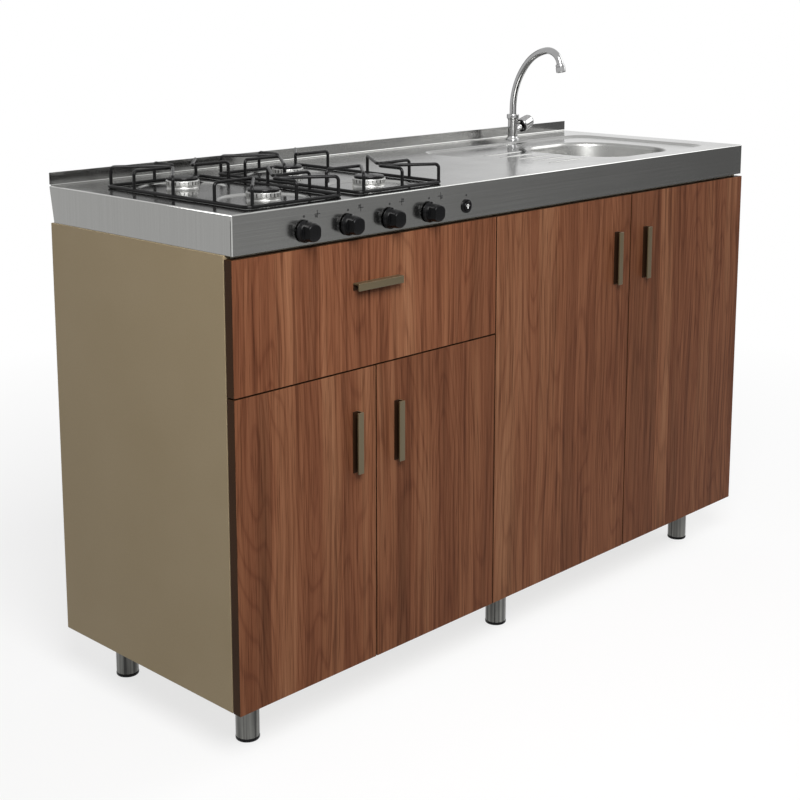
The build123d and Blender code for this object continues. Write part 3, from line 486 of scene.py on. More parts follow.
def turned(profile, sides=48):
    """A turned form on the Z axis: a ring drawn from each (radius, height) to the next."""
    points = [(max(radius, 0.001), height) for radius, height in profile]
    radius, height = points[0]
    piece = ring_of_edges((0, 0, height), radius, sides)
    bpy.ops.object.mode_set(mode="EDIT")
    bpy.ops.mesh.select_all(action="SELECT")
    for next_radius, next_height in points[1:]:
        bpy.ops.mesh.extrude_edges_move(TRANSFORM_OT_translate={"value": (0, 0, next_height - height)})
        grow = next_radius / radius
        bpy.ops.transform.resize(value=(grow, grow, 1), center_override=(0, 0, next_height))
        radius, height = next_radius, next_height
    bpy.ops.mesh.select_all(action="SELECT")
    bpy.ops.mesh.remove_doubles(threshold=0.01)
    bpy.ops.mesh.normals_make_consistent(inside=False)
    done()
    return piece


def aim(piece, place, direction=(0, 0, 1), spin=0.0):
    """Turn a piece made on the Z axis towards a direction, and move its origin to a place."""
    only(piece)
    turn = Vector((0, 0, 1)).rotation_difference(Vector(direction)).to_matrix().to_4x4()
    piece.matrix_world = Matrix.Translation(Vector(place)) @ turn @ Matrix.Rotation(spin, 4, "Z")
    return settle()


def copied(piece, offset=(0, 0, 0)):
    """A copy with its own mesh, moved by an offset."""
    twin = piece.copy()
    twin.data = piece.data.copy()
    twin.data.transform(Matrix.Translation(Vector(offset)))
    bpy.context.scene.collection.objects.link(twin)
    return twin


def discard(*patterns):
    """Remove the patterns that copies were made from."""
    for pattern in patterns:
        bpy.data.objects.remove(pattern)


def wire(points, radius, bends=(), closed=False, sides=3):
    """A round wire along straight runs; each bend is a corner and how far from it the wire leaves the run."""
    count = len(points)
    edges = [(i, i + 1) for i in range(count - 1)]
    if closed:
        edges.append((count - 1, 0))
    mesh = bpy.data.meshes.new("wire")
    mesh.from_pydata(points, edges, [])
    piece = bpy.data.objects.new("wire", mesh)
    bpy.context.scene.collection.objects.link(piece)
    for place, setback in bends:
        corner = Vector(place)
        pick(piece, "VERT", lambda co: (co - corner).length < 0.01)
        bpy.ops.mesh.bevel(affect="VERTICES", offset=setback, segments=8)
        done()
    only(piece)
    bpy.ops.object.convert(target="CURVE")
    piece = bpy.context.object
    piece.data.bevel_depth = radius
    piece.data.bevel_resolution = sides
    piece.data.use_fill_caps = True
    bpy.ops.object.convert(target="MESH")
    return bpy.context.object


def outline(low, high, level, corner=0.0, steps=12):
    """A flat rectangular loop of edges, with rounded corners where a radius is given."""
    deselect()
    bpy.ops.mesh.primitive_plane_add(size=1)
    piece = bpy.context.object
    piece.location = ((low[0] + high[0]) / 2, (low[1] + high[1]) / 2, level)
    piece.scale = (high[0] - low[0], high[1] - low[1], 1)
    settle()
    pick(piece, "VERT", lambda co: True)
    if corner:
        bpy.ops.mesh.bevel(affect="VERTICES", offset=corner, segments=steps)
    bpy.ops.mesh.select_all(action="SELECT")
    bpy.ops.mesh.delete(type="ONLY_FACE")
    done()
    return piece


def draw_loop(centre, size, level, steps):
    """Draw the selected loop on through (inset, drop) steps, each measured from where it started."""
    width, length = size
    inset, drop = 0.0, 0.0
    for next_inset, next_drop in steps:
        bpy.ops.mesh.extrude_edges_move(TRANSFORM_OT_translate={"value": (0, 0, drop - next_drop)})
        across = (width - 2 * next_inset) / (width - 2 * inset)
        along_y = (length - 2 * next_inset) / (length - 2 * inset)
        bpy.ops.transform.resize(
            value=(across, along_y, 1), center_override=(centre[0], centre[1], level - next_drop)
        )
        inset, drop = next_inset, next_drop


def paint(piece, materials, chooser=None):
    """Give a piece its materials; the chooser says which one each face takes."""
    piece.data.materials.clear()
    for material in materials:
        piece.data.materials.append(material)
    if chooser:
        for face in piece.data.polygons:
            face.material_index = chooser(face.center, face.normal)


def dress(piece, name, materials, chooser, angle):
    """Paint and name a piece, bring it to metres and shade it smooth."""
    paint(piece, materials, chooser)
    only(piece)
    piece.name = name
    piece.data.name = name
    piece.scale = (1 / METRE, 1 / METRE, 1 / METRE)
    settle()
    bpy.ops.object.shade_smooth_by_angle(angle=radians(angle))


def stand_for(piece, node):
    """Even out a piece's shading, and let it stand for its CAD node."""
    apply_modifier(piece, "WEIGHTED_NORMAL", keep_sharp=True)
    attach(piece, body_of_node[node])
    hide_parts(node)


def finish_piece(piece, name, node, materials, chooser=None, angle=35):
    """Finish a modelled piece, which stands for a CAD node."""
    dress(piece, name, materials, chooser, angle)
    stand_for(piece, node)


def detail(piece, name, body, material):
    """Finish a small extra piece, which rides on a body and stands for no node of its own."""
    dress(piece, name, [material], None, 35)
    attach(piece, body)


def smooth_copy(node, material):
    """A merged and smoothly shaded copy that stands for a CAD node whose shape is already right."""
    piece = nodes[node].copy()
    piece.data = nodes[node].data.copy()
    piece.parent = None
    bpy.context.scene.collection.objects.link(piece)
    for key in list(piece.keys()):
        del piece[key]
    piece.name = node + "_smooth"
    only(piece)
    bpy.ops.object.mode_set(mode="EDIT")
    bpy.ops.mesh.select_all(action="SELECT")
    bpy.ops.mesh.remove_doubles(threshold=0.00001)
    done()
    paint(piece, [material])
    bpy.ops.object.shade_smooth_by_angle(angle=radians(35))
    stand_for(piece, node)
    return piece


# Sizes that repeat the part's own, in millimetres
sheet = 1.2
bend = 2.5
upstand = 23.5
apron_slant = 11.0
burner_left_inset = 158.0
burner_spacing = 250.0
burner_front_inset = 107.0
burner_rows = 220.0
well_radius = 80.0
well_depth = 3.0
spark_reach = 39.0
knob_left_inset = 152.0
knob_pitch = 100.0
knob_drop = 43.0
knob_gap = 2.0
recess_right_inset = 62.0
recess_front_inset = 45.0
recess_width = 578.0
recess_length = 373.0
recess_corner = 45.0
recess_depth = 4.0
ridge_count = 5
ridge_pitch = 44.0
ridge_length = 130.0
ridge_width = 9.0
ridge_height = 2.0
ridge_bowl_gap = 16.0
bowl_right_inset = 150.0
bowl_front_inset = 64.0
bowl_width = 268.0
bowl_length = 276.0
bowl_corner = 100.0
bowl_depth = 150.0
bowl_floor_round = 24.0
tap_right_inset = 272.0
tap_rear_inset = 58.0
tap_collar_top = 60.0
tap_handle_height = 20.0
tap_handle_tilt = 20.0
tap_handle_start = 29.4
leg_radius = 21.0

# Sizes of the scene alone: holes, apron corners and their slits, the ridges' feet and the bowl's soft lip
valve_hole = 7.0
button_hole = 10.7
tap_hole = 10.5
spark_hole = 2.7
drain_hole = 35.5
corner_round = 1.6
slit_width = 1.2
slit_length = 56.0
ridge_sink = 0.3
bowl_lip = 6.0
bowl_lip_drop = 11.0
bowl_taper = 0.105

# Places, worked out from the frame
worktop_low, worktop_high = box_mm("worktop")
left, front, apron_bottom = worktop_low
right, back = worktop_high.x, worktop_high.y
top = worktop_high.z - upstand
edge_low = (left + bend, front + bend)
edge_high = (right - bend, back - sheet - bend)
rear = edge_high[1]
burner_columns = (left + burner_left_inset, left + burner_left_inset + burner_spacing)
burner_lines = (front + burner_front_inset, front + burner_front_inset + burner_rows)
burner_places = [(x, y) for x in burner_columns for y in burner_lines]
spark_level = top - well_depth - sheet
knob_columns = [left + knob_left_inset + knob_pitch * i for i in range(4)]
button_column = left + knob_left_inset + knob_pitch * 4
knob_level = top - knob_drop
recess_low = (right - recess_right_inset - recess_width, front + recess_front_inset)
recess_high = (right - recess_right_inset, front + recess_front_inset + recess_length)
recess_centre = ((recess_low[0] + recess_high[0]) / 2, (recess_low[1] + recess_high[1]) / 2)
recess_floor = top - recess_depth
bowl_low = (right - bowl_right_inset - bowl_width, front + bowl_front_inset)
bowl_high = (right - bowl_right_inset, front + bowl_front_inset + bowl_length)
bowl_centre = ((bowl_low[0] + bowl_high[0]) / 2, (bowl_low[1] + bowl_high[1]) / 2)
bowl_drop = sheet + bowl_depth
bowl_floor = recess_floor - bowl_drop
mouth_low = (bowl_low[0] - bowl_lip, bowl_low[1] - bowl_lip)
mouth_high = (bowl_high[0] + bowl_lip, bowl_high[1] + bowl_lip)
mouth_size = (bowl_width + 2 * bowl_lip, bowl_length + 2 * bowl_lip)
tap_place = (right - tap_right_inset, back - tap_rear_inset)
handle_aim = Vector((cos(radians(tap_handle_tilt)), 0, sin(radians(tap_handle_tilt))))
handle_centre = Vector((*tap_place, top + tap_handle_height))
# A fold of the sheet, as steps out and down from the line where it starts
fold = [(bend * sin(radians(a)), bend * (1 - cos(radians(a)))) for a in (18, 36, 54, 72, 90)]


def bowl_mouth():
    """The loop where the recess ends and the bowl starts."""
    return outline(mouth_low, mouth_high, recess_floor, bowl_corner + bowl_lip, 20)


# Worktop sheet: loops for the edge, the sink area and the burner wells, filled flat
def lay_sheet():
    loops = [outline(edge_low, edge_high, top), outline(recess_low, recess_high, top, recess_corner)]
    loops += [ring_of_edges((x, y, top), well_radius, 96) for x, y in burner_places]
    piece = join(loops)
    pick(piece, "EDGE", lambda a, b: True)
    bpy.ops.mesh.fill(use_beauty=True)
    done()
    return piece


# Burner wells: a soft rim, a sloped wall, a flat floor and a turned-down hole
def press_wells(piece):
    well = [
        (0.8, 0.12), (2.0, 0.6), (3.4, 1.5), (4.8, 2.4), (6.2, 2.88), (8.0, well_depth), (30.0, well_depth),
        (49.3, well_depth), (50.2, 3.2), (50.5, 3.7), (50.5, 4.2),
    ]
    for x, y in burner_places:
        middle = Vector((x, y, top))
        pick(piece, "EDGE", both(lambda co: near((co - middle).length, well_radius)))
        draw_loop((x, y), (2 * well_radius, 2 * well_radius), top, well)
        done()


# Sink area: pressed down with a soft border, then filled up to the mouth of the bowl
def press_recess(piece):
    def in_recess(co):
        inside_x = recess_low[0] - 0.1 < co.x < recess_high[0] + 0.1
        return inside_x and recess_low[1] - 0.1 < co.y < recess_high[1] + 0.1 and near(co.z, top)

    pick(piece, "EDGE", both(in_recess))
    border = [(1.0, 0.15), (2.6, 0.8), (4.4, 2.0), (6.2, 3.2), (8.2, 3.85), (10.5, recess_depth)]
    draw_loop(recess_centre, (recess_width, recess_length), top, border)
    done()
    join([piece, bowl_mouth()])
    pick(piece, "EDGE", both(lambda co: near(co.z, recess_floor)))
    bpy.ops.mesh.fill(use_beauty=True)
    done()


# Aprons: the front and side edges are bent down
def fold_aprons(piece):
    def on_fold(a, b):
        flat = near(a.z, top) and near(b.z, top)
        sides = [near(a.x, x) and near(b.x, x) for x in (edge_low[0], edge_high[0])]
        return flat and (any(sides) or near(a.y, edge_low[1]) and near(b.y, edge_low[1]))

    pick(piece, "EDGE", on_fold)
    half, depth = edge_high[0], rear - edge_low[1]
    out, drop = 0.0, 0.0
    for next_out, next_drop in fold + [(bend, top - apron_bottom)]:
        bpy.ops.mesh.extrude_edges_move(TRANSFORM_OT_translate={"value": (0, 0, drop - next_drop)})
        wider = (half + next_out) / (half + out)
        deeper = (depth + next_out) / (depth + out)
        bpy.ops.transform.resize(value=(wider, deeper, 1), center_override=(0, rear, top - next_drop))
        out, drop = next_out, next_drop
    done()
    # The side aprons reach the back and end on a slant.
    pick(piece, "VERT", lambda co: near(co.y, rear) and abs(co.x) > right - bend - 0.1 and co.z < top - 0.01)
    bpy.ops.transform.translate(value=(0, back - rear, 0))
    done()
    pick(piece, "VERT", lambda co: near(co.y, back) and near(co.z, apron_bottom))
    bpy.ops.transform.translate(value=(0, -apron_slant, 0))
    done()


# Apron corners: rounded, with a slit left beside each
def slit_corners(piece):
    def on_corner(a, b):
        ends = all(near(co.y, front) and abs(co.x) > right - 0.1 for co in (a, b))
        return ends and near(a.x, b.x)

    pick(piece, "EDGE", on_corner)
    bpy.ops.mesh.bevel(offset=corner_round, segments=3, affect="EDGES")
    done()
    slit_front = front + bend
    slit_middle = slit_front + slit_width / 2
    slit_top = apron_bottom + slit_length
    for place, normal in (
        ((0, slit_front, 0), (0, 1, 0)),
        ((0, slit_front + slit_width, 0), (0, 1, 0)),
        ((0, 0, slit_top), (0, 0, 1)),
    ):
        pick(piece, "FACE", lambda centre, n: abs(n.x) > 0.99 and centre.z < top - bend)
        bpy.ops.mesh.bisect(plane_co=place, plane_no=normal)
        done()
    pick(piece, "FACE", lambda c, n: abs(n.x) > 0.99 and near(c.y, slit_middle, 0.4) and c.z < slit_top)
    bpy.ops.mesh.delete(type="FACE")
    done()


# Upstand: the back edge is bent up, and its ends reach out over the side folds
def fold_upstand(piece):
    pick(piece, "EDGE", both(lambda co: near(co.y, rear) and near(co.z, top)))
    out, rise = 0.0, 0.0
    for next_out, next_rise in fold + [(bend, upstand)]:
        move = (0, next_out - out, next_rise - rise)
        bpy.ops.mesh.extrude_edges_move(TRANSFORM_OT_translate={"value": move})
        out, rise = next_out, next_rise
    done()
    for side, edge in ((-1, edge_low[0]), (1, edge_high[0])):
        pick(piece, "VERT", lambda co: near(co.x, edge) and co.z > top + bend - 0.1)
        bpy.ops.transform.translate(value=(side * bend, 0, 0))
        done()


# Holes for the valves, the ignition, the tap and the spark electrodes
def drill_holes(piece):
    half = 6.0

    def drill(radius, place, direction, sides=48):
        return aim(turned([(0, -half), (radius, -half), (radius, half), (0, half)], sides), place, direction)

    inwards, upwards = (0, 1, 0), (0, 0, 1)
    drills = [drill(valve_hole, (x, front, knob_level), inwards) for x in knob_columns]
    drills.append(drill(button_hole, (button_column, front, knob_level), inwards))
    drills.append(drill(tap_hole, (*tap_place, top), upwards))
    for x, y in burner_places:
        drills.append(drill(spark_hole, (x, y + spark_reach, top - well_depth), upwards, 16))
    cut_away(piece, join(drills))


# Drainboard ridges: low rounded ribs beside the bowl
def press_ridges():
    deselect()
    bpy.ops.mesh.primitive_uv_sphere_add(segments=32, ring_count=16, radius=1.0)
    ridge = bpy.context.object
    ridge.scale = (ridge_length / 2, ridge_width / 2, ridge_height)
    ridge.location = (bowl_low[0] - ridge_bowl_gap - ridge_length / 2, bowl_centre[1], recess_floor)
    settle()
    pick_all(ridge)
    foot = (0, 0, recess_floor - ridge_sink)
    bpy.ops.mesh.bisect(plane_co=foot, plane_no=(0, 0, 1), clear_inner=True, use_fill=True)
    done()
    middle = (ridge_count - 1) / 2
    ridges = [copied(ridge, (0, ridge_pitch * (i - middle), 0)) for i in range(ridge_count)]
    discard(ridge)
    return ridges


def sheet_finish(centre, normal):
    """Which steel a worktop face shows: 0 on the flat and the front, 1 on the side aprons, a little darker as
    painted shade, 2 on the folds, lighter as a painted highlight.
    """
    on_rim = centre.y < front + bend or abs(centre.x) > right - bend
    if on_rim and max(abs(value) for value in normal) < 0.98:
        return 2
    return int(abs(normal.x) > 0.9)


def make_worktop():
    piece = lay_sheet()
    press_wells(piece)
    press_recess(piece)
    fold_aprons(piece)
    slit_corners(piece)
    fold_upstand(piece)
    pick_all(piece)
    bpy.ops.mesh.remove_doubles(threshold=0.005)
    done()
    thicken(piece)
    drill_holes(piece)
    join([piece, *press_ridges()])
    steels = [stainless, stainless_side_shaded, stainless_fold_highlight]
    finish_piece(piece, "pressed_worktop", "worktop", steels, sheet_finish, angle=40)


make_worktop()


# Sink bowl: the mouth's loop drawn down over a soft lip, tapered walls and a rounded floor
def make_bowl():
    piece = bowl_mouth()
    pick(piece, "EDGE", lambda a, b: True)
    lip = [
        (bowl_lip * sin(radians(a)), bowl_lip_drop * (1 - cos(radians(a))))
        for a in (11, 22, 33, 45, 56, 67, 78, 90)
    ]
    wall_middle = 60.0
    wall_end = bowl_drop - bowl_floor_round
    wall_inset = bowl_lip + wall_end * bowl_taper
    walls = [(bowl_lip + wall_middle * bowl_taper, wall_middle), (wall_inset, wall_end)]
    corner = [
        (wall_inset + bowl_floor_round * (1 - cos(radians(a))), wall_end + bowl_floor_round * sin(radians(a)))
        for a in (15, 30, 45, 60, 75, 90)
    ]
    draw_loop(bowl_centre, mouth_size, recess_floor, lip + walls + corner)
    done()
    join([piece, ring_of_edges((*bowl_centre, bowl_floor), drain_hole, 64)])
    pick(piece, "EDGE", both(lambda co: near(co.z, bowl_floor)))
    bpy.ops.mesh.fill(use_beauty=True)
    done()
    thicken(piece)
    finish_piece(piece, "drawn_bowl", "sink_bowl", [stainless_satin], angle=40)


make_bowl()


# Sink drain: the strainer cup with its outlet, cross bars, boss and nut
def make_drain():
    place = (*bowl_centre, bowl_floor)
    cup = turned(
        [
            (42, 0), (42, 0.9), (41.2, 1.5), (36, 1.5), (33.6, 0.6), (32.5, -1.2), (32.5, -22.5),
            (17.5, -22.5), (17.5, -86), (19, -86), (19, -24), (34, -24), (34, 0), (42, 0),
        ],
        64,
    )
    parts = [aim(cup, place)]
    bar = block((-32.6, -2.0, -7.0), (32.6, 2.0, -4.0))
    soften(bar, 0.6)
    parts += [aim(copied(bar), place, spin=i * pi / 3) for i in range(3)]
    discard(bar)
    boss = turned([(0, -8), (8, -8), (9.5, -7), (9.5, -4), (8.5, -3), (0, -2.4)], 32)
    parts.append(aim(boss, place))
    nut = turned(
        [(34.2, -9.4), (45, -9.4), (46, -8.6), (46, -2.0), (45, -1.3), (34.2, -1.3), (34.2, -9.4)], 8
    )
    parts.append(aim(nut, place))
    finish_piece(join(parts), "strainer_and_outlet", "sink_drain", [chrome])


make_drain()


# Burners: toothed crowns, domed caps and spark electrodes
def make_burners():
    crown_level = top + 1.0
    crown_height = 12.0
    slot_depth = 4.5
    ceramic_top = 10.1
    crown = turned(
        [
            (20, 0), (27, 0), (28.5, 0.4), (29.2, 1.4), (29.2, 3.0), (30, 4.0), (30, 10.6), (29.4, 11.6),
            (28.6, crown_height), (20, crown_height), (20, 0),
        ],
        72,
    )
    # Every third face of the upright band is pushed in, which leaves the teeth.
    band = [f for f in crown.data.polygons if 4.5 < f.center.z < 10.4 and f.center.xy.length > 29]
    band.sort(key=lambda f: Vector((1, 0)).angle_signed(f.center.xy))
    slots = {place_key(f.center) for f in band[::3]}
    pick(crown, "FACE", lambda centre, normal: place_key(centre) in slots)
    bpy.ops.mesh.extrude_faces_move(TRANSFORM_OT_shrink_fatten={"value": -slot_depth})
    done()
    cap = turned([(0, 0), (26.2, 0), (27, 0.7), (27, 3.2), (26.4, 4.5), (24.6, 5.3), (18, 5.8), (0, 6.0)], 64)
    spark = turned(
        [
            (0, -14), (2.0, -14), (2.5, -13.4), (2.5, 9.6), (2.2, 10.2), (0.9, 10.4), (0.9, 12.6),
            (0.5, 13.2), (0, 13.2),
        ],
        24,
    )
    crowns, caps, sparks = [], [], []
    for x, y in burner_places:
        crowns.append(copied(crown, (x, y, crown_level)))
        caps.append(copied(cap, (x, y, crown_level + crown_height)))
        sparks.append(copied(spark, (x, y + spark_reach, spark_level)))
    discard(crown, cap, spark)

    def is_tip(centre, normal):
        return int(centre.z > spark_level + ceramic_top)

    finish_piece(join(crowns), "toothed_crowns", "burner_crowns", [cast_aluminium])
    finish_piece(join(caps), "domed_caps", "burner_caps", [enamel])
    finish_piece(join(sparks), "spark_plugs", "spark_electrodes", [ceramic, zinc], is_tip)


make_burners()


# Pan grates: a ring of wire with six bent fingers, three over each burner
def make_grate(name, node, centre_x):
    centre_y = sum(burner_lines) / 2
    ring_wire, finger_wire = 3.2, 3.0
    ring_bend, foot_bend, tip_bend = 14.0, 7.0, 11.0
    clearance, height = 0.3, 33.0
    ring_level = top + clearance + ring_wire
    finger_level = ring_level + height
    half_width, half_length, row = 105.0, 193.0, 110.0
    reach, far = 21.0, 95.0
    corners = [(-half_width, -half_length), (half_width, -half_length)]
    corners += [(half_width, half_length), (-half_width, half_length)]
    ring = [(centre_x + x, centre_y + y, ring_level) for x, y in corners]
    parts = [wire(ring, ring_wire, [(corner, ring_bend) for corner in ring], closed=True)]
    # Each finger is its first foot, its tip over the burner and its second foot.
    fingers = (
        ((-half_width, -row), (-reach, -row), (-far, -half_length)),
        ((0, -half_length), (0, -row - reach), (far, -half_length)),
        ((half_width, -row), (reach, -row), (half_width, 0)),
    )
    for turn in (1, -1):
        for finger in fingers:
            first, tip, second = [(centre_x + turn * x, centre_y + turn * y) for x, y in finger]
            route = [
                (*first, ring_level),
                (*first, finger_level),
                (*tip, finger_level),
                (*second, finger_level),
                (*second, ring_level),
            ]
            bends = [(route[1], foot_bend), (route[2], tip_bend), (route[3], foot_bend)]
            parts.append(wire(route, finger_wire, bends))
    finish_piece(join(parts), name, node, [enamel], angle=50)


make_grate("left_wire_grate", "left_grate", burner_columns[0])
make_grate("right_wire_grate", "right_grate", burner_columns[1])


# Gas knobs: a skirt, a round body and an upright grip left between two flats
def make_knobs():
    knob = turned(
        [
            (0, 0), (17.6, 0), (18.8, 0.6), (19, 1.6), (18.6, 3.4), (17.0, 5.4), (16.4, 7.0), (16.2, 12.0),
            (15.6, 22.0), (15.2, 24.2), (14.2, 25.5), (12.8, 26.0), (0, 26.0),
        ],
        64,
    )
    flat_inset, reach, flat_start, flat_end = 12.2, 24.0, 10.0, 30.0
    for low_x, high_x in ((-reach, -flat_inset), (flat_inset, reach)):
        flat = block((low_x, -reach, flat_start), (high_x, reach, flat_end))
        soften(flat, 1.2)
        cut_away(knob, flat)
    soften(knob, 0.5, 2, 50)
    nib = block((-1.6, 15.5, 1.2), (1.6, 18.8, 6.0))
    soften(nib, 0.5)
    pattern = aim(join([knob, nib]), (0, 0, 0), (0, -1, 0))
    for number, x in enumerate(knob_columns, start=1):
        piece = copied(pattern, (x, front - knob_gap, knob_level))
        finish_piece(piece, f"black_knob_{number}", f"knob_{number}", [black_plastic])
        smooth_copy(f"valve_stem_{number}", brass)
    discard(pattern)


make_knobs()


# Ignition: bezel ring and dished push button with a small spark mark
def make_ignition():
    place = (button_column, front, knob_level)
    bezel = turned(
        [
            (9.0, 10), (9.0, -2.2), (9.6, -3.0), (11.8, -3.0), (12.7, -2.5), (13, -1.6), (13, 0),
            (10.5, 0), (10.5, 10), (9.0, 10),
        ]
    )
    finish_piece(aim(bezel, place, (0, 1, 0)), "ignition_ring", "ignition_bezel", [black_plastic])
    button = turned([(0, -4.2), (4, -4.3), (7.4, -5.0), (8.2, -4.8), (8.7, -4.2), (8.7, 12), (0, 12)])
    finish_piece(aim(button, place, (0, 1, 0)), "spark_button", "ignition_button", [black_plastic])
    mark_points = [(0, -4.2, 0), (2.4, 1.0, 0), (1.4, 3.2, 0), (-1.4, 3.2, 0), (-2.4, 1.0, 0)]
    mark = wire(mark_points, 0.6, closed=True, sides=1)
    mark = aim(mark, (button_column, front - 4.35, knob_level), (0, -1, 0))
    detail(mark, "spark_button_mark", "ignition_button", white_ink)


make_ignition()


# Control marks: dots over and left of each knob, and a cross whose dot tells which burner it serves
def make_marks():
    ink = 0.12
    arm, half_bar = 6.5, 0.8
    dot_rise, dot_left, button_dot_rise = 24.5, 23.0, 20.0
    cross_right, cross_rise, cross_dot = 30.0, 25.5, 3.4
    dot = turned([(0, 0), (2.3, 0), (2.3, ink), (0, ink)], 24)
    level_bar = block((-arm, -half_bar, 0), (arm, half_bar, ink))
    upright_bar = block((-half_bar, -arm, 0), (half_bar, arm, ink))
    cross = join([level_bar, upright_bar])
    marks = []

    def print_mark(pattern, x, z):
        marks.append(aim(copied(pattern), (x, front + 0.02, z), (0, -1, 0)))

    for x, (burner_x, burner_y) in zip(knob_columns, ((-1, -1), (-1, 1), (1, 1), (1, -1))):
        cross_x, cross_z = x + cross_right, knob_level + cross_rise
        print_mark(dot, x, knob_level + dot_rise)
        print_mark(dot, x - dot_left, knob_level)
        print_mark(cross, cross_x, cross_z)
        print_mark(dot, cross_x + cross_dot * burner_x, cross_z + cross_dot * burner_y)
    print_mark(dot, button_column, knob_level + button_dot_rise)
    discard(dot, cross)
    detail(join(marks), "apron_marks", "cabinet", black_ink)


make_marks()


# Tap body: a turned column on a base flange, with a bonnet for the handle
def make_tap_body():
    body = turned(
        [
            (0, -55), (8, -55), (8, -30), (10, -30), (10, 0), (16, 0), (16, 1.6), (15.2, 3.2), (13.4, 4.2),
            (12.2, 6.0), (11.5, 9.0), (11.5, 46.0), (12.4, 48.6), (14.2, 50.2), (14.5, 51.5), (14.5, 58.2),
            (13.9, 59.6), (12.6, 60.0), (8.1, 60.0), (8.1, 40.0), (0, 40.0),
        ]
    )
    body = aim(body, (*tap_place, top))
    bonnet = turned(
        [(0, 0), (9.2, 0), (9.2, 14), (8.2, 16), (8.2, 20), (9.5, 21.5), (9.5, 28.2), (8.8, 29), (0, 29)], 40
    )
    bonnet = aim(bonnet, handle_centre, handle_aim)
    finish_piece(join([body, bonnet]), "turned_tap_body", "tap_body", [chrome])


# Tap spout: a swan neck of three arcs, each tighter than the last, with an aerator sleeve
def make_spout():
    pipe_radius = 8.0
    seat, straight, tip_run = 20.0, 13.0, 9.0
    collar = top + tap_collar_top
    points = [(0.0, collar - seat), (0.0, collar + straight)]
    heading = 90.0
    steps = 12
    for radius, turn in ((160.0, 42.0), (95.0, 38.0), (36.0, 90.0)):
        reach, rise = points[-1]
        middle = (reach + radius * sin(radians(heading)), rise - radius * cos(radians(heading)))
        for i in range(1, steps + 1):
            angle = radians(heading - turn * i / steps)
            points.append((middle[0] - radius * sin(angle), middle[1] + radius * cos(angle)))
        heading -= turn
    route = [(tap_place[0], tap_place[1] - reach, rise) for reach, rise in points]
    tip_aim = Vector((0, -cos(radians(heading)), sin(radians(heading))))
    tip_place = Vector(route[-1])
    route.append(tuple(tip_place + tip_aim * tip_run))
    finish_piece(wire(route, pipe_radius, sides=7), "swan_neck", "tap_spout", [chrome], angle=60)
    sleeve = turned(
        [
            (8.1, 0), (9.4, 0), (10.4, 0.8), (10.7, 2.2), (10.7, 5.0), (10.1, 5.6), (10.1, 6.6), (11, 7.4),
            (11, 17.0), (10.4, 18.6), (9.6, 19), (7.6, 19), (7.6, 14), (0, 13.4),
        ]
    )
    finish_piece(aim(sleeve, tip_place, tip_aim), "aerator_sleeve", "tap_aerator", [chrome])


# Tap handle: a fluted knob with a black ring, on a spindle
def make_tap_handle():
    sides = 80
    flute_pitch = 8
    flute_depth = 1.4
    grip = turned(
        [
            (0, 3), (13.6, 3), (15.2, 3.5), (16.0, 4.6), (16.3, 7.0), (15.9, 18.0), (15.2, 29.0),
            (14.6, 33.0), (13.2, 35.6), (10.6, 36.7), (6, 37), (0, 37),
        ],
        sides,
    )
    # Two faces of each eight round the grip are pushed in, which makes the flutes.
    band = [f for f in grip.data.polygons if 6.0 < f.center.z < 33.5 and f.center.xy.length > 13]
    flutes = set()
    for face in band:
        turn = (Vector((1, 0)).angle_signed(face.center.xy) + pi) / (2 * pi)
        if int(turn * sides) % flute_pitch in (0, 1):
            flutes.add(place_key(face.center))
    pick(grip, "FACE", lambda centre, normal: place_key(centre) in flutes)
    bpy.ops.mesh.extrude_region_shrink_fatten(TRANSFORM_OT_shrink_fatten={"value": -flute_depth})
    done()
    soften(grip, 0.35, 2, 30)
    ring = turned([(12, 0), (14.6, 0), (15, 0.5), (15, 2.5), (14.6, 3), (12, 3), (12, 0)])
    spindle = turned([(0, -12), (4, -12), (4, 4), (0, 4)], 24)
    start = handle_centre + handle_aim * tap_handle_start
    parts = [aim(part, start, handle_aim) for part in (grip, ring, spindle)]
    ring_faces = {place_key(face.center) for face in ring.data.polygons}

    def is_ring(centre, normal):
        return int(place_key(centre) in ring_faces)

    finish_piece(join(parts), "fluted_tap_knob", "tap_handle", [chrome, black_plastic], is_ring)


make_tap_body()
make_spout()
make_tap_handle()


# Fronts: walnut-faced boards with a dark band ironed round their edges
def make_front(name, node):
    piece = block(*box_mm(node))
    soften(piece, 0.7, 2)

    def is_edge(centre, normal):
        return int(abs(normal.y) < 0.9)

    finish_piece(piece, name, node, [walnuts[node], edge_band], is_edge)


